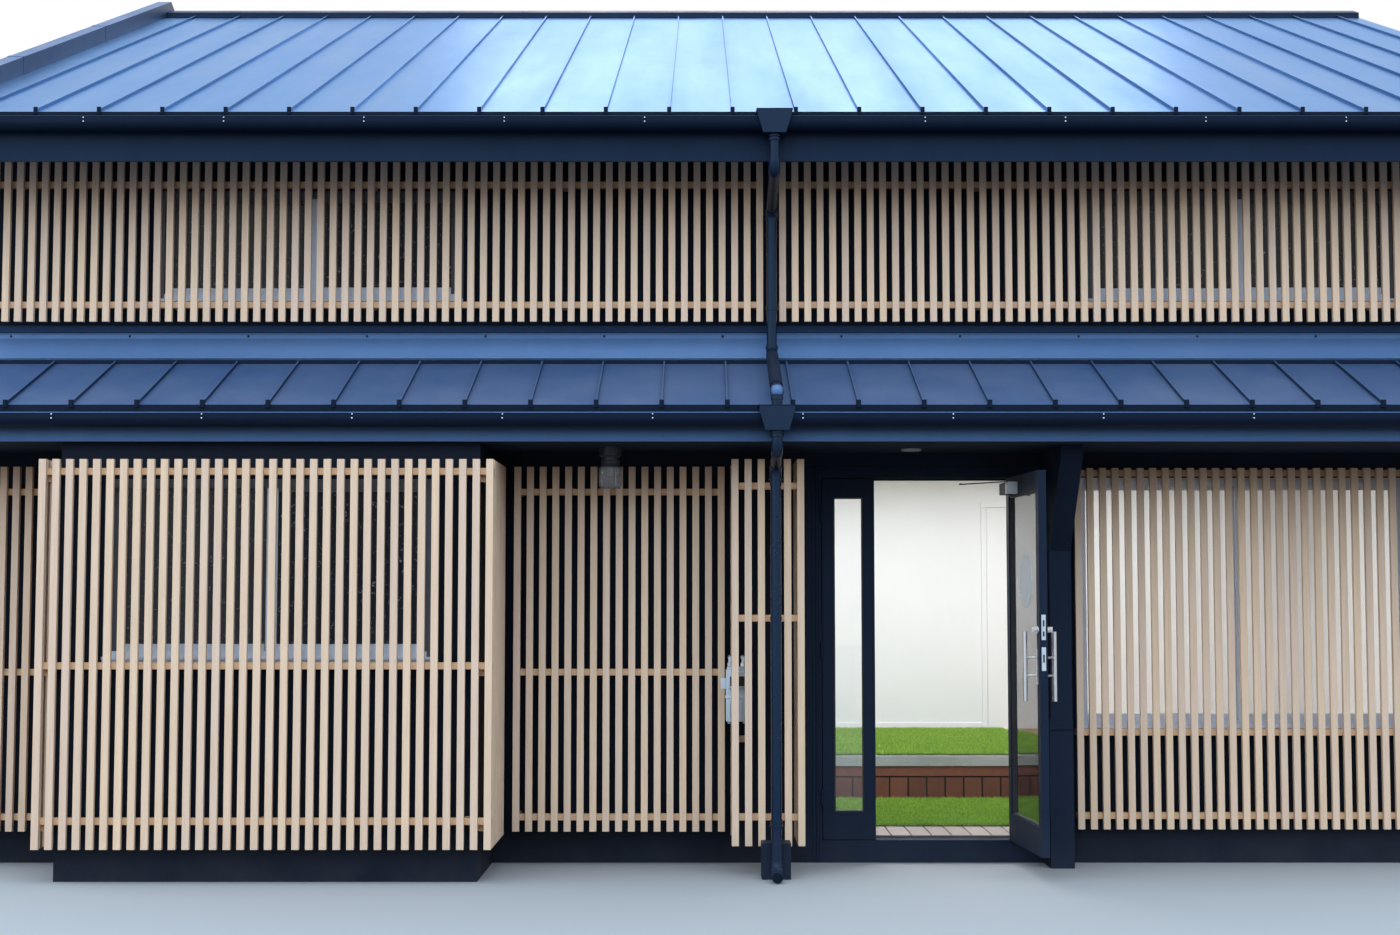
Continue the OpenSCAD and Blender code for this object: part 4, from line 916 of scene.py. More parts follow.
# Lattices

def turned_by(angle, vector):
    return Matrix.Rotation(angle, 3, "Z") @ Vector(vector)


def slats_over(run, sizes):
    """How many slats fill a run that starts and ends on a slat."""
    return round((run - sizes.slat_w) / sizes.slat_pitch) + 1


def slats_within(run, sizes):
    """How many slats fit into a run."""
    return int((run - sizes.slat_w) / sizes.slat_pitch) + 1


def screen(sizes, start, angle, head, count, rails, off, inset=0.0, seed=1):
    """Layers of one flat lattice: slats, rails behind them, and spacers back to the wall; rails and spacers take a
    darker, warmer copy of the timber as painted shade.
    """
    pitch, slat_w, slat_d = sizes.slat_pitch, sizes.slat_w, sizes.slat_d
    rail_h, rail_d, edge = sizes.rail_h, sizes.rail_d, sizes.timber_edge
    run = (count - 1) * pitch + slat_w
    behind = slat_d + rail_d
    start_x, start_y, foot = start

    def at(x, y, z):
        return Vector((start_x, start_y, 0)) + turned_by(angle, (x, y, 0)) + Vector((0, 0, z))

    layers = [bars((slat_w, slat_d, head - foot), at(slat_w / 2, slat_d / 2, foot), "timber",
                   count, turned_by(angle, (pitch, 0, 0)), (0, 0, angle), edge=edge, seed=seed)]
    spacers = max(1, round(run / sizes.spacer_run))
    step = (run - 2 * inset - rail_h) / spacers
    # The rails and spacers take a darker, warmer copy of the timber: painted shade behind the slats.
    for i, z in enumerate(rails):
        layers.append(bars((rail_h, rail_d, run), at(0, slat_d + rail_d / 2, z + rail_h / 2),
                           "rail_timber", turn=(0, QUARTER, angle), edge=edge, seed=seed + 10 + i))
        if off > behind:
            layers.append(bars((rail_h, rail_h, off - behind),
                               at(inset + rail_h / 2, behind, z + rail_h / 2), "rail_timber",
                               spacers + 1, turned_by(angle, (step, 0, 0)), (-QUARTER, 0, angle),
                               edge=edge, seed=seed + 20 + i))
    return layers


class TOWNHOUSE_OT_lattices(bpy.types.Operator):
    """Builds the timber lattices, slat by slat"""
    bl_idname = "townhouse.lattices"
    bl_label = "Lattices"

    def execute(self, context):
        s = context.scene.townhouse_sizes
        bay_rails = (2.244, 1.170, 0.321)
        low_rails = tuple(z - s.rail_h for z in bay_rails)
        a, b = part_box("bay_lattice")
        overhang = low("bay_front_wall").x - a.x
        plant("bay_screen", screen(s, a, 0, b.z, slats_over(b.x - a.x, s), bay_rails,
                                   low("bay_front_wall").y - a.y, overhang + 0.03),
              "timber", "bay_lattice")

        a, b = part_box("bay_lattice_sides")
        layers = []
        for x, y, angle, seed in ((b.x, a.y, QUARTER, 40), (a.x, b.y, -QUARTER, 80)):
            layers += screen(s, (x, y, a.z), angle, b.z, slats_over(b.y - a.y, s), low_rails,
                             overhang, seed=seed)
        plant("bay_screen_returns", layers, "timber", "bay_lattice_sides")

        a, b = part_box("recess_lattice")
        bay_gap = 0.010
        end_count = slats_within(low("bay_lattice").x - bay_gap - a.x, s)
        recess_count = slats_within(b.x - high("bay_lattice").x - bay_gap, s)
        start = b.x - s.slat_w - (recess_count - 1) * s.slat_pitch
        layers = []
        for x, count, seed in ((a.x, end_count, 120), (start, recess_count, 160)):
            layers += screen(s, (x, a.y, a.z), 0, b.z, count, (2.169, 1.109, 0.266), FRONT - a.y,
                             seed=seed)
        plant("recess_screens", layers, "timber", "recess_lattice")

        a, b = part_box("right_lattice")
        plant("right_screen", screen(s, a, 0, b.z, slats_over(b.x - a.x, s), (2.288, 0.751, 0.262),
                                     FRONT - a.y, seed=260), "timber", "right_lattice")

        a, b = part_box("upper_lattice")
        half_gap = 0.048
        layers = []
        for x0, x1, seed in ((a.x, PIPE_X - half_gap, 300), (PIPE_X + half_gap, b.x, 340)):
            count = slats_within(x1 - x0, s)
            if x0 < PIPE_X:
                x0 = x1 - s.slat_w - (count - 1) * s.slat_pitch
            layers += screen(s, (x0, a.y, a.z), 0, b.z, count, (4.018, 3.292), FRONT - a.y, seed=seed)
        plant("upper_screens", layers, "timber", "upper_lattice")
        return {"FINISHED"}


class TOWNHOUSE_OT_meter_lattice(bpy.types.Operator):
    """Builds the box lattice round the gas meter, with its side slats and cross piece"""
    bl_idname = "townhouse.meter_lattice"
    bl_label = "Meter lattice"

    def execute(self, context):
        s = context.scene.townhouse_sizes
        a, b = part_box("meter_lattice")
        behind = s.slat_d + s.rail_d
        corner_gap = 0.0005
        top_rail, middle_rail, low_rail = 2.184, 1.429, 0.305
        shelf_z, shelf_run = 0.730, 0.085
        side_rails = (top_rail - s.rail_h, 1.915, middle_rail - s.rail_h, shelf_z, low_rail - s.rail_h)
        layers = screen(s, a, 0, b.z, slats_over(b.x - a.x, s), (top_rail, middle_rail, low_rail),
                        behind, seed=200)
        y0 = a.y + behind + corner_gap
        ends = FRONT - s.slat_w - y0
        # Two uprights a long way apart at the left, and six close together at the right
        for side, (x, uprights, step) in enumerate(((a.x, 2, ends),
                                                    (b.x - s.slat_w, 6, s.slat_pitch))):
            x += s.slat_w / 2
            layers.append(bars((s.slat_w, s.slat_w, b.z - a.z), (x, y0 + s.slat_w / 2, a.z), "timber",
                               uprights, (0, step, 0), edge=s.timber_edge, seed=220 + side))
            for i, z in enumerate(side_rails):
                layers.append(bars((s.slat_d, s.rail_h, FRONT - y0), (x, y0, z + s.rail_h / 2),
                                   "timber", turn=ALONG_Y, edge=s.timber_edge, seed=230 + i))
        layers.append(bars((s.rail_h, s.rail_d, shelf_run),
                           (a.x + s.slat_w, FRONT - s.rail_d / 2 - 0.001, shelf_z), "timber",
                           turn=ALONG_X, edge=s.timber_edge, seed=240))
        plant("meter_screens", layers, "timber", "meter_lattice")
        return {"FINISHED"}


# Roofs and gutters

def seamed_sheet(name, node, outline, line, seam_xs, sizes, material, slot):
    """A roof of one (Y, Z) outline, with standing seams along its top line."""
    a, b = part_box(node)
    roof = Piece(name)
    roof.prism(outline, a.x, b.x)
    (y0, z0), (y1, z1) = line
    sunk = 0.001
    seam = [(y0, z0 - sunk), (y1, z1 - sunk), (y1, z1 + sizes.seam_h), (y0, z0 + sizes.seam_h)]
    for x in seam_xs:
        roof.prism(seam, x - sizes.seam_w / 2, x + sizes.seam_w / 2)
    roof.done(material, slot, bevel=0.0015, replaced=(node,))


def mirrored(outline, side):
    return [(side * y, z) for y, z in outline]


def main_top(y):
    """The top of the main roof's front half."""
    return EAVE_Z + MAIN_SLOPE * (y - low("roof_front").y)


def pent_top(y):
    return PENT_Z + PENT_SLOPE * (y - low("pent_roof").y)


class TOWNHOUSE_OT_roof_trim(bpy.types.Operator):
    """Builds the seamed roofing, with seam caps, drip edges, ridge folds and coping straps"""
    bl_idname = "townhouse.roof_trim"
    bl_label = "Roof trim"

    def execute(self, context):
        s = context.scene.townhouse_sizes
        seams = 27
        a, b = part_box("roof_front")
        eave, lip_y, ridge_y = a.y, a.y + LIP_D, -high("ridge_cap").y
        outline = [(eave, EAVE_Z), (0, main_top(0)), (0, main_top(0) - ROOF_T),
                   (lip_y, main_top(lip_y) - ROOF_T), (lip_y, main_top(lip_y) - LIP_T),
                   (eave, EAVE_Z - LIP_T)]
        line = [(eave, EAVE_Z), (ridge_y, main_top(ridge_y))]
        first = b.x - s.seam_pitch / 2
        seam_xs = [first - i * s.seam_pitch for i in range(seams)]
        for name, side in (("roof_front", 1), ("roof_rear", -1)):
            seamed_sheet(name + "_sheets", name, mirrored(outline, side), mirrored(line, side),
                         seam_xs, s, "roof", "roof_metal")
        cap = (0.024, 0.012, 0.040)
        plant("seam_caps", [
            bars(cap, (first, y, EAVE_Z - 0.012), "gutter", seams, (-s.seam_pitch, 0, 0), edge=0.003,
                 seed=2) for y in (eave - cap[1] / 2, -eave + cap[1] / 2)], "navy_metal")

        pa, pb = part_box("pent_roof")
        # The pent roof's first seam from its right end, as a share of the seams' spacing
        pent_first = pb.x - 0.35 * s.seam_pitch
        foot_y = low("wall_flashing").y - 0.001
        pent_t = 0.045
        outline = [(pa.y, PENT_Z), (FRONT, pent_top(FRONT)), (FRONT, pent_top(FRONT) - pent_t),
                   (pa.y, PENT_Z - pent_t)]
        seamed_sheet("pent_sheets", "pent_roof", outline, [(pa.y, PENT_Z), (foot_y, pent_top(foot_y))],
                     [pent_first - i * s.seam_pitch for i in range(seams)], s, "slate",
                     "slate_metal")
        pent_cap = (0.026, 0.020, 0.042)
        plant("pent_seam_caps", [
            bars(pent_cap, (pent_first, pa.y - pent_cap[1] / 2 + 0.004, PENT_Z - 0.014), "gutter",
                 seams, (-s.seam_pitch, 0, 0), edge=0.004, seed=3)], "navy_metal")

        # The drip edges take the dark gutter paint: painted shade in the gaps between the sheets' edges and the
        # gutters.
        edge = Piece("drip_edges")
        edge_t = 0.004
        for sign in (1, -1):
            y = eave * sign
            edge.box((a.x, y - edge_t * sign, EAVE_Z - 0.046), (b.x, y, EAVE_Z + 0.001))
        edge.box((pa.x, pa.y - edge_t, PENT_Z - 0.050), (pb.x, pa.y, PENT_Z + 0.001))
        edge.done("gutter", "navy_metal")

        ridge_a, ridge_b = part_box("ridge_cap")
        fold = Piece("ridge_folds")
        radius = 0.006
        z = ridge_a.z + radius
        for y in (ridge_a.y, -ridge_a.y):
            fold.rod((ridge_a.x, y, z), (ridge_b.x, y, z), radius, 12)
        fold.done("navy", "slate_metal", smooth=True)

        coping_a, coping_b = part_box("verge_coping")
        strap = Piece("coping_straps")
        half_w, down, up = 0.03, 0.120, 0.003
        for y in (-3.50, -1.75, 0.35, 1.75, 3.50):
            z = coping_b.z - MAIN_SLOPE * abs(y)
            rise = (-MAIN_SLOPE if y > 0 else MAIN_SLOPE) * half_w
            strap.prism([(y - half_w, z - rise - down), (y + half_w, z + rise - down),
                         (y + half_w, z + rise + up), (y - half_w, z - rise + up)],
                        coping_a.x, coping_b.x + 0.002)
        strap.done("slate", "slate_metal")
        return {"FINISHED"}


class TOWNHOUSE_OT_flashing_trim(bpy.types.Operator):
    """Adds the flashing's folds in a lighter sheet as painted highlights, a dark strip at its foot as a painted
    shadow line, sheet joints, screws, and the wall band over it in a lighter paint as painted light
    """
    bl_idname = "townhouse.flashing_trim"
    bl_label = "Flashing trim"

    def execute(self, context):
        a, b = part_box("wall_flashing")
        foot_z, head_z = a.z, b.z
        lean = (FRONT - a.y) / (head_z - 0.030 - foot_z)
        # A dark strip in front of the flashing's foot: a painted shadow line under the foot's edge.
        closure = Piece("flashing_closure")
        closure_y, gap, closure_top = a.y - 0.010, 0.0005, foot_z + 0.020
        closure.prism([(closure_y, pent_top(closure_y) + gap), (a.y, foot_z + gap),
                       (a.y, closure_top), (closure_y, closure_top)], a.x, b.x)
        closure.done("gutter", "slate_metal")

        folds = Piece("flashing_folds")
        rise, tall = 0.022, 0.016
        fold_z, fold_y = foot_z + rise, a.y + rise * lean
        folds.prism([(fold_y - 0.012, fold_z), (fold_y + 0.004, fold_z),
                     (fold_y + tall * lean + 0.004, fold_z + tall),
                     (fold_y + tall * lean - 0.003, fold_z + tall)], a.x, b.x)
        head = (FRONT - 0.010, head_z - 0.002)
        folds.rod((a.x, *head), (b.x, *head), 0.004, 12)
        # The hem and the head bead take the lighter roof sheet: painted highlights along the folds.
        folds.done("roof", "slate_metal", bevel=0.001)

        joints = Piece("flashing_joints")
        joint_foot, joint_w, joint_t = 0.040, 0.030, 0.004
        y0, z0 = a.y - 0.003 + joint_foot * lean, foot_z + joint_foot
        y1, z1 = FRONT - 0.0115, head_z - 0.034
        for x in (-3.30, -0.435, 2.40):
            joints.prism([(y0, z0), (y0 + joint_t, z0), (y1 + joint_t, z1), (y1, z1)], x, x + joint_w)
        joints.done("flashing", "slate_metal", bevel=0.001)

        # The band takes a lighter copy of the navy paint: painted light on a band in shade.
        band = Piece("wall_band")
        band.box((LEFT, FRONT - 0.006, head_z + 0.006), (RIGHT, FRONT, head_z + 0.048))
        band.done("band", "dark_board", bevel=0.001)
        plant("flashing_screws", [
            studs(0.007, 0.005, (-4.612, FRONT - 0.012, head_z - 0.016), "gutter", 14, (0.714, 0, 0),
                  (QUARTER, 0, 0))], "slate_metal")
        return {"FINISHED"}


class TOWNHOUSE_OT_pipe_trim(bpy.types.Operator):
    """Adds the hoppers' lips, the downpipes' collars, the sleeve over the pent roof, and a dome at the sleeve's
    end in a lighter sheet as a painted highlight
    """
    bl_idname = "townhouse.pipe_trim"
    bl_label = "Pipe trim"

    def execute(self, context):
        lips = Piece("hopper_lips")
        half_d, lip_w, lip_h, out_by = 0.055, 0.010, 0.006, 0.006
        x0, x1 = PIPE_X - HOPPER_HALF_W, PIPE_X + HOPPER_HALF_W
        for middle, rim in HOPPERS:
            y0, y1, top = middle - half_d, middle + half_d, rim + lip_h
            lips.box((x0 - out_by, y0, rim), (x1 + out_by, y0 + lip_w, top))
            lips.box((x0 - out_by, y1 - lip_w, rim), (x1 + out_by, y1, top))
            lips.box((x0 - out_by, y0 + lip_w, rim), (x0 + lip_w, y1 - lip_w, top))
            lips.box((x1 - lip_w, y0 + lip_w, rim), (x1 + out_by, y1 - lip_w, top))
        lips.done("gutter", "navy_metal", bevel=0.001)

        rings = Piece("pipe_collars")
        collar = ((0.028, -0.007), (0.0375, -0.006), (0.0385, 0), (0.0375, 0.006), (0.028, 0.007),
                  (0.028, -0.007))
        for y, heights in ((-5.120, (4.196, 4.176)), (-4.630, (3.835, 3.040)),
                           (-5.400, (2.474, 2.456)), (-5.180, (2.230, 0.300))):
            for z in heights:
                rings.turned((PIPE_X, y), [(radius, z + rise) for radius, rise in collar])
        rings.done("pipe", "navy_metal", smooth=True)

        sleeve = Piece("pipe_sleeve")
        sleeve.rod((PIPE_X, -4.690, 2.986), (PIPE_X, -5.310, 2.738), 0.0365, 40)
        sleeve.done("door", "navy_metal", bevel=0.002, smooth=True)
        end = Piece("pipe_sleeve_end")
        end_y, end_z, radius, steps = -5.392, 2.700, 0.041, 8
        dome = [(0, end_z - radius)]
        for k in range(1, steps):
            angle = math.pi * (k / steps - 0.5)
            dome.append((radius * math.cos(angle), end_z + radius * math.sin(angle)))
        dome.append((0, end_z + radius))
        end.turned((PIPE_X, end_y), dome)
        # The dome takes the lighter flashing sheet: a painted highlight on the elbow.
        end.done("flashing", "navy_metal", smooth=True)
        return {"FINISHED"}


class TOWNHOUSE_OT_gutter_trim(bpy.types.Operator):
    """Adds the gutters' beads and screws"""
    bl_idname = "townhouse.gutter_trim"
    bl_label = "Gutter trim"

    def execute(self, context):
        a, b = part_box("roof_front")
        gap, gutter_w, radius = 0.020, 0.100, 0.004
        upper_y = low("roof_fascias").y - gap - gutter_w
        pent_y = low("pent_eaves").y - gap - gutter_w
        upper, pent = Piece("upper_gutter_beads"), Piece("pent_gutter_beads")
        for bead, y, z, x0, x1 in ((upper, upper_y + radius, MAIN_RIM, a.x, b.x),
                                   (pent, pent_y + radius, PENT_RIM, LEFT, RIGHT)):
            bead.rod((x0, y, z), (PIPE_X - HOPPER_HALF_W, y, z), radius, 12)
            bead.rod((PIPE_X + HOPPER_HALF_W, y, z), (x1, y, z), radius, 12)
        rear_y = -upper_y - radius
        upper.rod((a.x, rear_y, MAIN_RIM), (b.x, rear_y, MAIN_RIM), radius, 12)
        upper.done("navy", "navy_metal", smooth=True)
        # The pent gutter's bead takes the lighter flashing sheet: a painted highlight along its rim.
        pent.done("flashing", "navy_metal", smooth=True)

        layers = []
        for y, rim, x0, x1, first, run in ((upper_y, MAIN_RIM, a.x, b.x, 0.219, 0.800),
                                           (pent_y, PENT_RIM, LEFT, RIGHT, 0.044, 0.828)):
            count = int((x1 - x0 - first) / run) + 1
            layers.append(studs(0.0045, 0.003, (x0 + first, y + 0.0005, rim - 0.008), "aluminium",
                                count, (run, 0, 0), (QUARTER, 0, 0), 2, (0, 0, -0.022)))
        plant("gutter_screws", layers, "navy_metal")
        return {"FINISHED"}


# Walls

class TOWNHOUSE_OT_wall_strips(bpy.types.Operator):
    """Adds the cover strips on the plain walls and the metal foot round them"""
    bl_idname = "townhouse.wall_strips"
    bl_label = "Wall strips"

    def execute(self, context):
        s = context.scene.townhouse_sizes
        strip_w, strip_t, foot_z = 0.024, 0.006, 0.002
        depth = BACK - FRONT
        count = int(depth / s.strip_pitch) // 2 * 2 + 1
        step = (depth - strip_w) / (count - 1)
        eave = main_top(FRONT) - ROOF_T
        peak = MAIN_SLOPE * depth / 2 / eave
        plant("party_wall_strips", [
            bars((strip_t, strip_w, eave - 0.004), (x, FRONT + strip_w / 2, foot_z), "dark_wall",
                 count, (0, step, 0), edge=0.001, peak=peak, seed=4)
            for x in (LEFT - strip_t / 2, RIGHT + strip_t / 2)], "dark_board")

        left, right = [(x - 0.05, x + w + 0.05) for x, _, w, _, _, _ in REAR_WINDOWS[:2]]
        layers = []
        for x0, x1 in ((LEFT, left[0]), (left[1], right[0]), (right[1], RIGHT)):
            n = max(2, int((x1 - x0) / s.strip_pitch) + 1)
            step = (x1 - x0 - strip_w) / (n - 1)
            layers.append(bars((strip_w, strip_t, eave - 0.06),
                               (x0 + strip_w / 2, BACK + strip_t / 2, foot_z), "dark_wall", n,
                               (step, 0, 0), edge=0.001, seed=5))
        plant("rear_wall_strips", layers, "dark_board")

        foot = Piece("wall_feet")
        proud, foot_low, foot_high = 0.008, 0.001, 0.10
        foot.box((LEFT - proud, FRONT, foot_low), (LEFT, BACK + proud, foot_high))
        foot.box((RIGHT, FRONT, foot_low), (RIGHT + proud, BACK + proud, foot_high))
        foot.box((LEFT, BACK, foot_low), (RIGHT, BACK + proud, foot_high))
        foot.done("navy", "navy_metal", bevel=0.0015)
        return {"FINISHED"}


# Entry and rooms

def panel_with_holes(piece, y0, y1, x0, x1, z0, z1, holes):
    """Flat panels in the plane of Y that leave out holes given as (x0, x1, z0, z1)."""
    edges = sorted({x0, x1, *(min(max(v, x0), x1) for h in holes for v in h[:2])})
    for a, b in zip(edges, edges[1:]):
        if b - a < 1e-4:
            continue
        blocked = sorted((h[2], h[3]) for h in holes if h[0] <= a + 1e-6 and h[1] >= b - 1e-6)
        z = z0
        for bottom, top in blocked:
            if bottom > z:
                piece.box((a, y0, z), (b, y1, bottom))
            z = max(z, top)
        if z1 > z:
            piece.box((a, y0, z), (b, y1, z1))


class TOWNHOUSE_OT_entry(bpy.types.Operator):
    """Lays the entry tiles, the riser's bricks, the nosing, the turf mats and the floor boards"""
    bl_idname = "townhouse.entry"
    bl_label = "Entry and floors"

    def execute(self, context):
        s = context.scene.townhouse_sizes
        room_w = IN_RIGHT - IN_LEFT
        tile_t = 0.006
        tile_top = ENTRY_Z + tile_t
        depth = RISER_Y - IN_FRONT
        rows = int(depth / s.tile_l)
        pitch_y = depth / rows
        plant("entry_tiles", [
            bars((s.tile_w - s.joint, tile_t, pitch_y - s.joint),
                 (IN_LEFT + s.tile_w / 2, IN_FRONT + s.joint / 2, ENTRY_Z + tile_t / 2), "tile",
                 int(room_w / s.tile_w), (s.tile_w, 0, 0), ALONG_Y, rows, (0, pitch_y, 0), seed=6)],
            "concrete")

        brick_t, brick_top = 0.012, 0.310
        plant("riser_bricks", [
            bars((s.brick_w - s.brick_joint, brick_t, brick_top - tile_top - s.brick_joint),
                 (IN_LEFT + s.brick_w / 2, RISER_Y - brick_t / 2 + 0.003, tile_top), "brick",
                 int(room_w / s.brick_w), (s.brick_w, 0, 0), edge=0.002, seed=7)], "brick")

        band = Piece("riser_band")
        band.box((IN_LEFT, RISER_Y - 0.006, brick_top), (IN_RIGHT, RISER_Y, RAISED_Z - 0.066))
        band.done("brick", "brick", bevel=0.001)

        nosing = Piece("step_nosing")
        foot, back, thick = 0.380, DECK_FRONT + 0.055, 0.004
        nosing.prism([(DECK_FRONT - thick, foot), (DECK_FRONT, foot), (DECK_FRONT, RAISED_Z),
                      (back, RAISED_Z), (back, RAISED_Z + thick),
                      (DECK_FRONT - thick, RAISED_Z + thick)], IN_LEFT, IN_RIGHT)
        nosing.done("nosing", "steel", bevel=0.001)

        wall_y = low("inner_wall").y
        board_t = 0.004
        front = DECK_FRONT + 0.060
        count = int((wall_y - front) / s.board_w)
        plant("floor_boards", [
            bars((board_t, s.board_w - 0.002, room_w - 0.010),
                 (IN_LEFT + 0.005, front + s.board_w / 2, RAISED_Z + board_t / 2), "floor_board",
                 count, (0, s.board_w, 0), ALONG_X, edge=0.0008, seed=8)], "timber")

        mat_t = 0.006
        for name, x0, x1, y0, y1, z, density in (
                ("lower_turf", 0.15, 1.95, RISER_Y - 1.640, RISER_Y - 0.014, tile_top, 13000.0),
                ("upper_turf", 0.00, 2.10, front, wall_y - 0.020, RAISED_Z + board_t, 9000.0)):
            mesh = bpy.data.meshes.new(name)
            mesh.from_pydata([(x, y, z + mat_t) for x in (x0, x1) for y in (y0, y1)], [],
                             [(3, 1, 0, 2)])
            turf = {"Density": density, "Height": s.blade_h, "Material": MATERIALS["turf"]}
            settle(grow(name, [("turf", turf)], mesh), "root", "concrete")
        return {"FINISHED"}


class TOWNHOUSE_OT_linings(bpy.types.Operator):
    """Lines the rooms with white plaster, skirtings and the flush door in the inner wall"""
    bl_idname = "townhouse.linings"
    bl_label = "Room linings"

    def execute(self, context):
        t, top = 0.004, 4.30
        upper_z = high("upper_floor").z
        bay_a, bay_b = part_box("bay_front_wall")
        frame_a, frame_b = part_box("door_frame")
        bay = (bay_a.x + 0.1, bay_b.x - 0.1, ENTRY_Z, 2.432)
        door = (frame_a.x, frame_b.x, ENTRY_Z, frame_b.z)
        _, right, *upper = [(x, x + w, z, z + h) for x, z, w, h, _, _ in FRONT_WINDOWS]
        lower = [(x, x + w, z, z + h) for x, z, w, h, _, _ in REAR_WINDOWS[:2]]
        lining = Piece("plaster_linings")
        for y, z0, z1, holes in ((IN_FRONT, ENTRY_Z, CEILING, [bay, door, right]),
                                 (IN_FRONT, upper_z, top, upper),
                                 (IN_BACK - t, RAISED_Z, CEILING, lower),
                                 (IN_BACK - t, upper_z, top, upper)):
            panel_with_holes(lining, y, y + t, IN_LEFT, IN_RIGHT, z0, z1, holes)
        for x in (IN_LEFT, IN_RIGHT - t):
            lining.box((x, IN_FRONT + t, ENTRY_Z), (x + t, RISER_Y, CEILING))
            lining.box((x, RISER_Y, RAISED_Z), (x + t, IN_BACK - t, CEILING))
            lining.box((x, IN_FRONT + t, upper_z), (x + t, IN_BACK - t, top))
        lining.done("plaster", "plaster")

        wall_y = low("inner_wall").y
        door_x0, door_x1, door_top, trim_w, gap = 1.985, 2.765, 2.336, 0.045, 0.003
        trim_x0, trim_x1 = door_x0 - trim_w, door_x1 + trim_w
        skirting = Piece("skirtings")
        for x0, x1 in ((IN_LEFT + t, trim_x0), (trim_x1, IN_RIGHT - t)):
            skirting.box((x0, wall_y - 0.009, RAISED_Z), (x1, wall_y, RAISED_Z + 0.06))
        skirting.done("plaster", "plaster", bevel=0.002)

        flush = Piece("inner_door")
        flush.box((door_x0, wall_y - 0.006, RAISED_Z + 0.006), (door_x1, wall_y, door_top))
        for x0, x1 in ((trim_x0, door_x0 - gap), (door_x1 + gap, trim_x1)):
            flush.box((x0, wall_y - 0.016, RAISED_Z), (x1, wall_y, door_top + 0.0025))
        flush.box((trim_x0, wall_y - 0.016, door_top + gap), (trim_x1, wall_y, door_top + trim_w))
        flush.done("plaster", "plaster", bevel=0.0015)
        return {"FINISHED"}


# Windows

def sliding_window(outer, piece, window):
    """A flanged frame with tracks, a lip and an apron at its foot, and two sashes; the head, the jambs, the
    flanges, the upper tracks, most of the sashes' stiles and their top rails go into the first piece, which the
    caller paints darker, as painted shade, for the shorter windows.
    """
    x0, z0, w, h, face, side = window
    x1, z1, mid = x0 + w, z0 + h, x0 + w / 2

    def part(target, xs, depths, zs):
        near, far = sorted((face + side * depths[0], face + side * depths[1]))
        target.box((xs[0], near, zs[0]), (xs[1], far, zs[1]))

    bar, proud = 0.028, 0.010
    depths = (-proud, 0.060)
    within = (x0 + bar, x1 - bar)
    part(outer, (x0, x0 + bar), depths, (z0, z1))
    part(outer, (x1 - bar, x1), depths, (z0, z1))
    part(piece, within, depths, (z0, z0 + bar))
    part(outer, within, depths, (z1 - bar, z1))

    flange = 0.012
    thin = (-0.004, -0.0002)
    part(outer, (x0 - flange, x0), thin, (z0, z1 + flange))
    part(outer, (x1, x1 + flange), thin, (z0, z1 + flange))
    part(outer, (x0, x1), thin, (z1, z1 + flange))
    lip_foot, lip_top, apron_foot = z0 - 0.004, z0 + 0.012, z0 - 0.024
    part(piece, (x0 - flange, x1 + flange), (-0.028, -proud), (lip_foot, lip_top))
    part(piece, (x0 - flange, x1 + flange), (-proud, -0.0002), (apron_foot, lip_foot))
    for track in (-0.0095, 0.0245, 0.0555):
        depths = (track, track + 0.003)
        part(piece, within, depths, (z0 + bar, z0 + bar + 0.014))
        part(outer, within, depths, (z1 - bar - 0.012, z1 - bar))

    low_z, high_z = z0 + bar + 0.004, z1 - bar
    stile, rail, foot, lap, meeting = 0.034, 0.034, 0.050, 0.017, 0.062
    for left, right, front, first, last, first_piece in (
            (mid - lap, x1 - bar, -0.004, meeting, stile, piece),
            (x0 + bar, mid + lap, 0.0275, stile, 0.045, outer)):
        depths = (front, front + 0.026)
        part(first_piece, (left, left + first), depths, (low_z, high_z))
        part(outer, (right - last, right), depths, (low_z, high_z))
        part(piece, (left + first, right - last), depths, (low_z, low_z + foot))
        part(outer, (left + first, right - last), depths, (high_z - rail, high_z))


class TOWNHOUSE_OT_window_frames(bpy.types.Operator):
    """Builds the sliding windows' frames and sashes and their locks"""
    bl_idname = "townhouse.window_frames"
    bl_label = "Window frames"

    def execute(self, context):
        for name, node, windows in (("front_window_frames", "front_windows", FRONT_WINDOWS),
                                    ("rear_window_frames", "rear_windows", REAR_WINDOWS)):
            dim, bright = Piece(name + "_dim"), Piece(name)
            for window in windows:
                # Windows under 1.2 m tall, under the eaves and behind the lattices, get a darker aluminium on the
                # head, jambs and sashes as painted shade; their sills and foot rails stay bright.
                full_height = window[3] > 1.2
                sliding_window(bright if full_height else dim, bright, window)
            bright.done("aluminium", "aluminium", bevel=0.0008, replaced=(node,))
            dim.done("dim_aluminium", "aluminium", bevel=0.0008)

        locks = Piece("window_locks")
        for x, z, w, h, face, side in FRONT_WINDOWS + REAR_WINDOWS:
            middle, z_mid = x + w / 2, z + h / 2
            inner = face + side * 0.0535
            locks.rod((middle - 0.012, inner, z_mid), (middle - 0.012, inner + side * 0.012, z_mid),
                      0.014, 20)
            near, far = sorted((inner + side * 0.006, inner + side * 0.014))
            locks.box((middle - 0.016, near, z_mid), (middle - 0.008, far, z_mid + 0.045))
        locks.done("steel", "steel", bevel=0.001, smooth=True)
        return {"FINISHED"}


# Door

DOOR_OPEN = math.radians(93.5)
LEAF_T = 0.045
PIN_OUT = 0.010
LEAF_W, SIDE_LEAF_W = 0.830, 0.313
HINGE_GAP = 0.005
LEAF_LOW, LEAF_HIGH = 0.136, 2.275
STILE_W = 0.068
TOP_RAIL, BOTTOM_RAIL = 0.110, 0.160


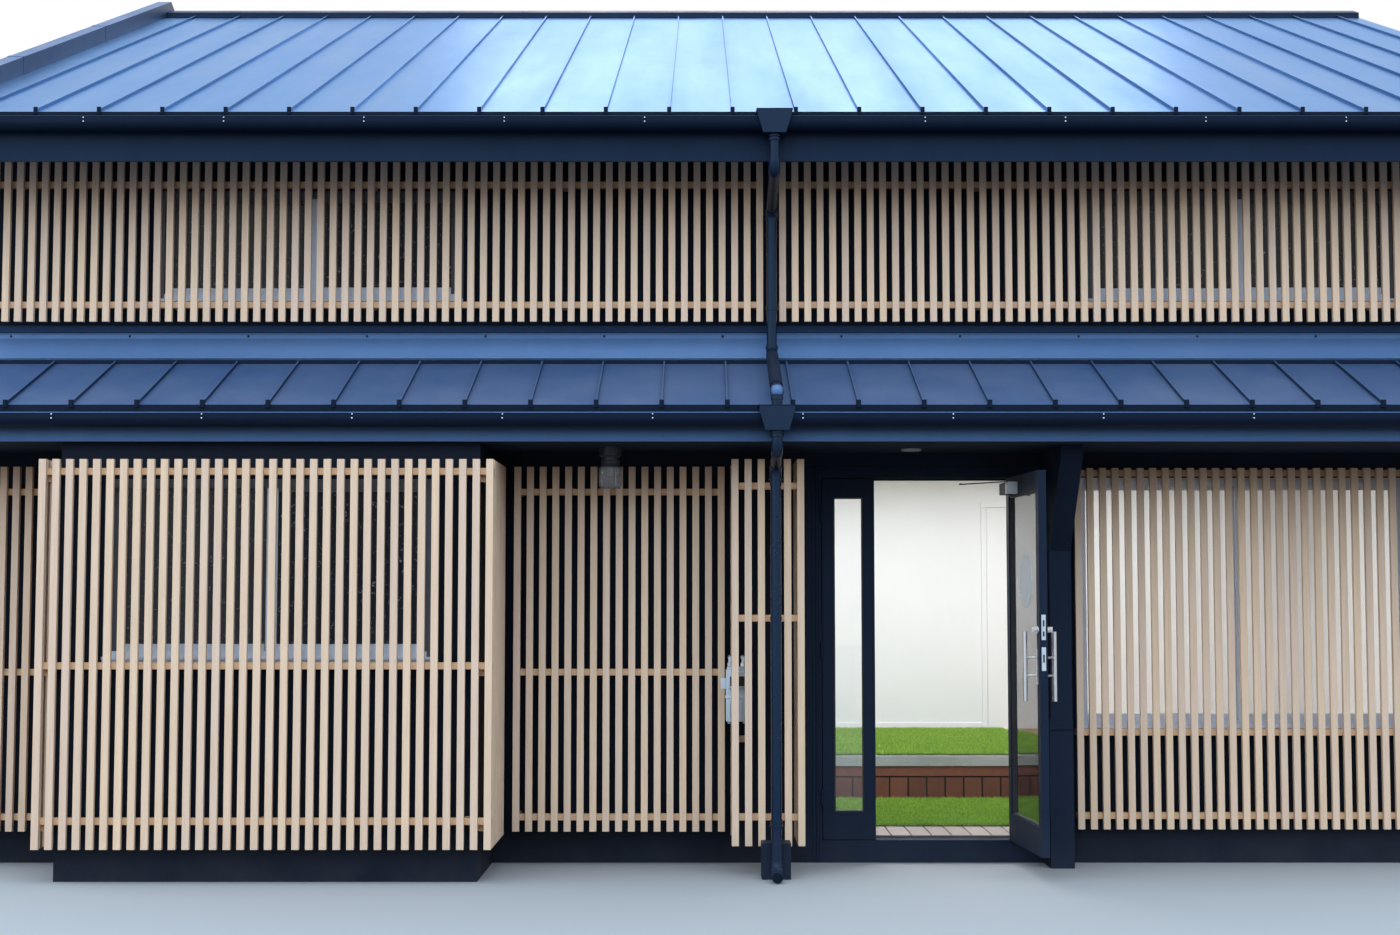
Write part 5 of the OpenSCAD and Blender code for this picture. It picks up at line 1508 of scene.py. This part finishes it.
def hinge_matrix(joint_name, angle):
    joint = next(j for j in frame["joints"] if j["name"] == joint_name)
    x, y, _ = joint["pos_m"]
    return Matrix.Translation((x, y, 0)) @ Matrix.Rotation(angle, 4, "Z")


def glass_beads(name, x0, x1, body, matrix):
    """Beads round the pane on both faces of a leaf, in the leaf's own place."""
    z0, z1 = LEAF_LOW + BOTTOM_RAIL, LEAF_HIGH - TOP_RAIL
    middle = PIN_OUT + LEAF_T / 2
    bead, inset, pane_half = 0.009, 0.008, 0.003
    piece = Piece(name)
    for y0, y1 in ((PIN_OUT + inset, middle - pane_half),
                   (middle + pane_half, PIN_OUT + LEAF_T - inset)):
        piece.box((x0, y0, z0), (x0 + bead, y1, z1))
        piece.box((x1 - bead, y0, z0), (x1, y1, z1))
        piece.box((x0 + bead, y0, z0), (x1 - bead, y1, z0 + bead))
        piece.box((x0 + bead, y0, z1 - bead), (x1 - bead, y1, z1))
    piece.done("rubber", "navy_metal", body, bevel=0.001, matrix=matrix)


class TOWNHOUSE_OT_door_fittings(bpy.types.Operator):
    """Adds the leaves' glass beads, the lock's parts, the bare disc and the closer's cover"""
    bl_idname = "townhouse.door_fittings"
    bl_label = "Door fittings"

    def execute(self, context):
        main = hinge_matrix("door_swing", DOOR_OPEN)
        side = hinge_matrix("side_leaf_swing", 0.0)
        free = -HINGE_GAP - LEAF_W
        glass_beads("main_leaf_beads", free + STILE_W, -HINGE_GAP - STILE_W, "main_leaf", main)
        glass_beads("side_leaf_beads", HINGE_GAP + STILE_W, HINGE_GAP + SIDE_LEAF_W - STILE_W,
                    "side_leaf", side)

        plates, slots = Piece("lock_plates"), Piece("lock_slots")
        middle = PIN_OUT + LEAF_T / 2
        for piece, proud, back, half_w, spans in (
                (plates, 0.0015, 0.0, 0.012, ((1.330, 1.470), (1.160, 1.290))),
                (slots, 0.0018, 0.0010, 0.005, ((1.350, 1.378), (1.405, 1.440), (1.205, 1.250)))):
            for z0, z1 in spans:
                piece.box((free - proud, middle - half_w, z0), (free - back, middle + half_w, z1))
        plates.done("plate", "steel", "main_leaf", bevel=0.0006, matrix=main)
        # The slots are black boxes: painted shade in the openings of the lock's face.
        slots.done("rubber", "steel", "main_leaf", matrix=main)

        bolts = Piece("lock_cylinders")
        x, z = free + 0.034, 1.387
        for y, sign in ((PIN_OUT, -1), (PIN_OUT + LEAF_T, 1)):
            bolts.rod((x, y, z), (x, y + sign * 0.010, z), 0.022, 32, 0.020)
            bolts.rod((x, y, z), (x, y + sign * 0.024, z), 0.012, 24, 0.011)
            turn_y = sorted((y, y + sign * 0.036))
            bolts.box((x - 0.004, turn_y[0], z - 0.015), (x + 0.004, turn_y[1], z + 0.015))
        bolts.done("steel", "steel", "main_leaf", bevel=0.001, matrix=main, smooth=True)

        disc = Piece("bare_disc")
        x, z, half_t = free + LEAF_W / 2, 1.660, 0.0045
        disc.rod((x, middle - half_t, z), (x, middle + half_t, z), 0.152, 64)
        disc.done("plate", "steel", "main_leaf", matrix=main)

        closer = Piece("closer_cover")
        end_x, top, face = -0.320, LEAF_HIGH - 0.036, PIN_OUT + LEAF_T
        closer.box((end_x - 0.004, face, top - 0.070), (end_x + 0.060, face + 0.061, top + 0.0005))
        closer.done("plate", "steel", "main_leaf", bevel=0.004, matrix=main, smooth=True)
        knob = Piece("closer_knob")
        z = top - 0.0705
        knob.turned((end_x + 0.030, face + 0.030),
                    [(0, z), (0.011, z), (0.010, z - 0.010), (0, z - 0.011)], 24)
        knob.done("rubber", "navy_metal", "main_leaf", matrix=main, smooth=True)
        return {"FINISHED"}


class TOWNHOUSE_OT_door_surround(bpy.types.Operator):
    """Adds the door frame's mouldings and threshold, and the band round the post"""
    bl_idname = "townhouse.door_surround"
    bl_label = "Door surround"

    def execute(self, context):
        a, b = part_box("door_frame")
        mouldings = Piece("frame_mouldings")
        for proud, offset, width in ((0.004, 0.012, 0.006), (0.006, 0.030, 0.010),
                                     (0.008, 0.052, 0.006), (0.004, 0.068, 0.006)):
            mouldings.box((a.x + offset, FRONT - proud, 0.002),
                          (a.x + offset + width, FRONT, b.z - 0.026))
        for proud, drop, height in ((0.004, 0.010, 0.004), (0.006, 0.020, 0.006)):
            mouldings.box((a.x + 0.012, FRONT - proud, b.z - drop - height),
                          (b.x - 0.018, FRONT, b.z - drop))
        mouldings.done("door", "navy_metal", bevel=0.001)

        post_a, post_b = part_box("door_post")
        band = Piece("post_band")
        band_d, band_foot, band_top = 0.262, 0.798, 0.858
        band.box((post_a.x, FRONT - band_d, band_foot), (post_b.x, FRONT, band_top))
        band.done("door", "navy_metal", bevel=0.0015)

        sill = Piece("threshold")
        x0, x1, z = a.x + 0.085, b.x - 0.145, 0.130
        sill.box((x0, FRONT + 0.010, z), (x1, IN_FRONT, z + 0.0035))
        for k in range(4):
            y0 = FRONT + 0.070 + 0.016 * k
            sill.box((x0, y0, z + 0.003), (x1, y0 + 0.004, z + 0.005))
        sill.done("door", "navy_metal", bevel=0.0006)
        return {"FINISHED"}


# Lamp and meter

class TOWNHOUSE_OT_lamp(bpy.types.Operator):
    """Builds the porch lamp's ribbed jar under its dark cap, and the downlight by the door"""
    bl_idname = "townhouse.lamp"
    bl_label = "Lamps"

    def execute(self, context):
        a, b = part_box("porch_lamp")
        centre = ((a.x + b.x) / 2, (a.y + b.y) / 2)
        cap_foot = b.z - 0.117
        jar_h = cap_foot - a.z
        jar = grow("lamp_jar", [("jar", {"Radius": 0.0640, "Height": jar_h, "Ribs": 26,
                                         "Rib Depth": 0.028, "Foot": 0.86,
                                         "Material": MATERIALS["lamp_glass"]})])
        jar.data.transform(Matrix.Translation((*centre, a.z + jar_h / 2)))
        jar.data.shade_smooth()
        jar.data.set_sharp_from_angle(angle=math.radians(40))
        settle(jar, "root", "lamp", "porch_lamp")
        cap = Piece("lamp_cap")
        r = 0.056
        rings = [(0, -0.004), (r, -0.004), (r + 0.003, 0.004), (r - 0.002, 0.012), (r - 0.002, 0.030),
                 (r + 0.001, 0.034), (r - 0.004, 0.038), (r - 0.004, 0.060), (r + 0.008, 0.066)]
        cap.turned(centre, [(radius, cap_foot + z) for radius, z in rings]
                   + [(r + 0.008, b.z), (0, b.z)])
        cap.done("lamp_cap", "navy_metal", smooth=True)
        socket = Piece("lamp_socket")
        rings = [(0, 0.050), (0.014, 0.048), (0.020, 0.035), (0.020, 0.004), (0, 0.004)]
        socket.turned(centre, [(radius, cap_foot - z) for radius, z in rings], 32)
        socket.done("plate", "lamp", smooth=True)

        spot = Piece("downlight")
        soffit = low("pent_eaves").z
        rings = [(0, 0.004), (0.034, 0.004), (0.040, 0.012), (0.058, 0.010), (0.060, 0.0005), (0, 0.0005)]
        spot.turned((0.770, FRONT - 0.300), [(radius, soffit - z) for radius, z in rings])
        spot.done("plate", "navy_metal", smooth=True)
        return {"FINISHED"}


class TOWNHOUSE_OT_meter(bpy.types.Operator):
    """Builds the gas meter: ribbed case, counter, side box, unions and pipes into the wall"""
    bl_idname = "townhouse.meter"
    bl_label = "Gas meter"

    def execute(self, context):
        a = low("gas_meter")
        x0, x1 = a.x + 0.030, a.x + 0.158
        y0, y1 = a.y, a.y + 0.160
        z0, z1 = a.z, a.z + 0.325
        front = y0 + 0.024
        middle = (y0 + y1) / 2
        foot_h, lid_h = 0.014, 0.016
        pipe_xs = (x0 + 0.026, x1 - 0.026)
        pipe_r, pipe_z = 0.012, z1 + 0.048
        case = Piece("meter_case")
        case.box((x0, front, z0 + foot_h), (x1, y1, z1 - lid_h))
        case.box((x0 - 0.004, front - 0.003, z0 + 0.145), (x1 + 0.004, y1 + 0.001, z0 + 0.157))
        case.box((x0 + 0.006, front + 0.008, z1 - lid_h), (x1 - 0.006, y1 - 0.008, z1))
        case.box((x0 + 0.012, front - 0.018, z1 - 0.120), (x1 - 0.012, front, z1 - 0.034))
        for k in range(5):
            x = x0 + 0.016 + k * 0.022
            case.box((x, front - 0.006, z0 + 0.030), (x + 0.008, front, z0 + 0.128))
        for x in (x0 + 0.010, x1 - 0.030):
            case.box((x, front + 0.020, z0), (x + 0.020, y1 - 0.020, z0 + foot_h))
        case.box((a.x, front + 0.010, z0 + 0.200), (x0 - 0.001, middle, z0 + 0.262))
        for x in pipe_xs:
            case.rod((x, middle, z1), (x, middle, pipe_z + pipe_r), pipe_r, 28)
            case.rod((x, middle, pipe_z), (x, FRONT, pipe_z), pipe_r, 28)
        case.done("meter", "meter_case", bevel=0.003, smooth=True, replaced=("gas_meter",))
        pane = Piece("meter_window")
        pane.box((x0 + 0.022, front - 0.0195, z1 - 0.108), (x1 - 0.022, front - 0.018, z1 - 0.052))
        pane.done("rubber", "meter_case", bevel=0.0004)
        unions = Piece("meter_unions")
        for x in pipe_xs:
            unions.rod((x, middle, z1 + 0.002), (x, middle, z1 + 0.022), 0.020, 6)
            unions.rod((x, middle, z1 + 0.022), (x, middle, z1 + 0.028), 0.015, 24)
        unions.done("steel", "meter_case", bevel=0.001)
        return {"FINISHED"}


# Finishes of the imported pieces

NODE_MATERIAL = {
    "timber": "timber", "dark_board": "dark_wall", "navy_metal": "navy", "roof_metal": "roof",
    "slate_metal": "slate", "plaster": "plaster", "concrete": "concrete", "brick": "concrete",
    "aluminium": "aluminium", "steel": "steel", "clear_glass": "clear_glass",
    "frosted_glass": "frosted_glass", "lamp": "lamp_glass", "meter_case": "meter",
}
NODE_EXCEPTIONS = {
    "raised_floor": "deck", "wall_flashing": "flashing", "pent_eaves": "pent_paint",
    "ridge_cap": "navy", "gutters": "gutter", "upper_downpipe": "pipe", "lower_downpipe": "pipe",
    "downpipe_pier": "door", "door_frame": "door", "door_leaf": "door", "side_leaf": "door",
    "door_post": "door", "door_closer": "door", "closer_arm": "rubber",
}


class TOWNHOUSE_OT_finishes(bpy.types.Operator):
    """Makes the materials and puts them on the house's main pieces"""
    bl_idname = "townhouse.finishes"
    bl_label = "Finishes"

    def execute(self, context):
        make_materials(context.scene.townhouse_colours,
                       context.scene.townhouse_sizes.seam_pitch)
        for row in frame["record"]["subparts"]:
            node, slot = row["node"], row["material_slot"]
            material = MATERIALS[NODE_EXCEPTIONS.get(node, NODE_MATERIAL[slot])]
            piece = frame["nodes"][node]
            if not piece.material_slots:
                piece.data.materials.append(material)
            for material_slot in piece.material_slots:
                material_slot.material = material
        return {"FINISHED"}


# Stage

CAMERA_AT = (-0.465, -16.280, 1.557)
CAMERA_PITCH = math.radians(3.8)
FOCAL_PIXELS = 1980.0
IMAGE_W = 1400
SENSOR_W = 36.0
# Sky: dim and warm near the horizon, then even and cool; heights are sines of the angle
HORIZON_COLOUR = (1.0, 0.84, 0.66)
SKY_COLOUR = (0.68, 0.83, 1.0)
HORIZON_END, SKY_START = 0.05, 0.27
HORIZON_LIGHT, SKY_LIGHT = 0.26, 3.4
FLOOR_COLOUR = (0.26, 0.26, 0.26)


def area_light(name, place, target, size, energy, colour):
    """A rectangular lamp at a place, aimed at a target."""
    data = bpy.data.lights.new(name, "AREA")
    data.shape = "RECTANGLE"
    data.size, data.size_y = size
    data.energy = energy
    data.color = colour
    light = bpy.data.objects.new(name, data)
    light.location = place
    light.rotation_euler = (Vector(target) - Vector(place)).to_track_quat("-Z", "Y").to_euler()
    bpy.context.scene.collection.objects.link(light)


def seen_rays(tree):
    """1 for rays from the camera, a gloss or a glass, and 0 for rays that only carry light."""
    path = add(tree, "ShaderNodeLightPath").outputs
    seen = calc(tree, "MAXIMUM", path["Is Camera Ray"], path["Is Glossy Ray"])
    return calc(tree, "MAXIMUM", seen, path["Is Transmission Ray"])


class TOWNHOUSE_OT_stage(bpy.types.Operator):
    """Sets up the camera, the floor and the soft studio light"""
    bl_idname = "townhouse.stage"
    bl_label = "Stage"

    def execute(self, context):
        scene = context.scene
        data = bpy.data.cameras.new("camera")
        data.sensor_fit = "HORIZONTAL"
        data.sensor_width = SENSOR_W
        data.lens = FOCAL_PIXELS / IMAGE_W * SENSOR_W
        data.clip_end = 200.0
        camera = bpy.data.objects.new("camera", data)
        camera.location = CAMERA_AT
        camera.rotation_euler = (QUARTER + CAMERA_PITCH, 0, 0)
        scene.collection.objects.link(camera)
        scene.camera = camera

        world = bpy.data.worlds.new("studio")
        world.use_nodes = True
        tree = world.node_tree
        tree.nodes.clear()
        aim = add(tree, "ShaderNodeTexCoord").outputs["Generated"]
        rise = axis(tree, aim, "Z")
        strength = remap(tree, rise, HORIZON_END, SKY_START, HORIZON_LIGHT, SKY_LIGHT)
        hue = blend(tree, remap(tree, rise, HORIZON_END, SKY_START), HORIZON_COLOUR, SKY_COLOUR)
        sky = out(tree, "ShaderNodeBackground", {"Color": hue, "Strength": strength})
        backdrop = out(tree, "ShaderNodeBackground", {"Color": (1.0, 1.0, 1.0), "Strength": 1.0})
        mix = out(tree, "ShaderNodeMixShader", {0: seen_rays(tree), 1: sky, 2: backdrop})
        output = tree.nodes.new("ShaderNodeOutputWorld")
        tree.links.new(mix, output.inputs[0])
        scene.world = world

        floor_mesh = bpy.data.meshes.new("floor")
        reach = 60.0
        floor_z = cad_bounds[0][2] - 0.0005
        corners = ((-reach, -reach), (reach, -reach), (reach, reach), (-reach, reach))
        floor_mesh.from_pydata([(x, y, floor_z) for x, y in corners], [], [(0, 1, 2, 3)])
        floor = bpy.data.objects.new("floor", floor_mesh)
        scene.collection.objects.link(floor)
        paint = Finish("pale_floor")
        pale = paint.mix(seen_rays(paint.tree), scaled(FLOOR_COLOUR, 0.2), FLOOR_COLOUR)
        paint.set(Base_Color=pale, Roughness=0.9, Specular_IOR_Level=0.1)
        floor_mesh.materials.append(paint.material)

        cool, room_white, white = (0.80, 0.90, 1.0), (0.94, 0.97, 1.0), (1.0, 1.0, 1.0)
        room_z = CEILING - 0.06
        # Lamps, each (name, place, target, size, power, colour)
        for lamp in (("key", (-0.8, -11.5, 12.5), (-0.3, -3.2, 4.3), (7.0, 4.0), 174.0, cool),
                     ("fill", (-2.0, -16.0, 7.0), (-1.5, -4.0, 2.0), (9.0, 5.0), 22.0, cool),
                     ("rear", (1.5, 14.5, 18.5), (1.0, -2.5, 5.4), (12.0, 5.0), 500.0, white),
                     ("side", (-7.5, -13.0, 3.6), (-0.1, -4.6, 3.2), (0.3, 5.5), 60.0, cool),
                     ("entry_room", (0.9, -3.2, room_z), (0.9, -3.0, 0.0), (1.6, 1.0), 71.0,
                      room_white),
                     ("front_room", (1.2, -0.9, room_z), (1.2, -0.9, 0.0), (5.0, 1.6), 104.0,
                      room_white)):
            area_light(*lamp)
        scene.view_settings.view_transform = "Standard"
        return {"FINISHED"}


class TOWNHOUSE_PT_panel(bpy.types.Panel):
    """Lists the townhouse's sizes, colours and building steps"""
    bl_idname = "TOWNHOUSE_PT_panel"
    bl_label = "Machiya Townhouse"
    bl_space_type = "VIEW_3D"
    bl_region_type = "UI"
    bl_category = "Townhouse"

    def draw(self, context):
        layout = self.layout
        for owner in (context.scene.townhouse_sizes, context.scene.townhouse_colours):
            column = layout.column(align=True)
            for key in owner.__annotations__:
                column.prop(owner, key)
        for step in STEPS:
            layout.operator(step.bl_idname)


STEPS = (
    TOWNHOUSE_OT_stage, TOWNHOUSE_OT_finishes, TOWNHOUSE_OT_lattices, TOWNHOUSE_OT_meter_lattice,
    TOWNHOUSE_OT_roof_trim, TOWNHOUSE_OT_gutter_trim, TOWNHOUSE_OT_flashing_trim,
    TOWNHOUSE_OT_pipe_trim, TOWNHOUSE_OT_wall_strips, TOWNHOUSE_OT_entry, TOWNHOUSE_OT_linings,
    TOWNHOUSE_OT_window_frames, TOWNHOUSE_OT_door_fittings, TOWNHOUSE_OT_door_surround,
    TOWNHOUSE_OT_lamp, TOWNHOUSE_OT_meter,
)
CLASSES = (TownhouseSizes, TownhouseColours) + STEPS + (TOWNHOUSE_PT_panel,)


def register():
    for cls in CLASSES:
        bpy.utils.register_class(cls)
    bpy.types.Scene.townhouse_sizes = bpy.props.PointerProperty(type=TownhouseSizes)
    bpy.types.Scene.townhouse_colours = bpy.props.PointerProperty(type=TownhouseColours)


def unregister():
    del bpy.types.Scene.townhouse_sizes
    del bpy.types.Scene.townhouse_colours
    for cls in reversed(CLASSES):
        bpy.utils.unregister_class(cls)


def main():
    register()
    for step in STEPS:
        group, name = step.bl_idname.split(".")
        getattr(getattr(bpy.ops, group), name)()
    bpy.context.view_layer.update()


if __name__ == "__main__":
    main()
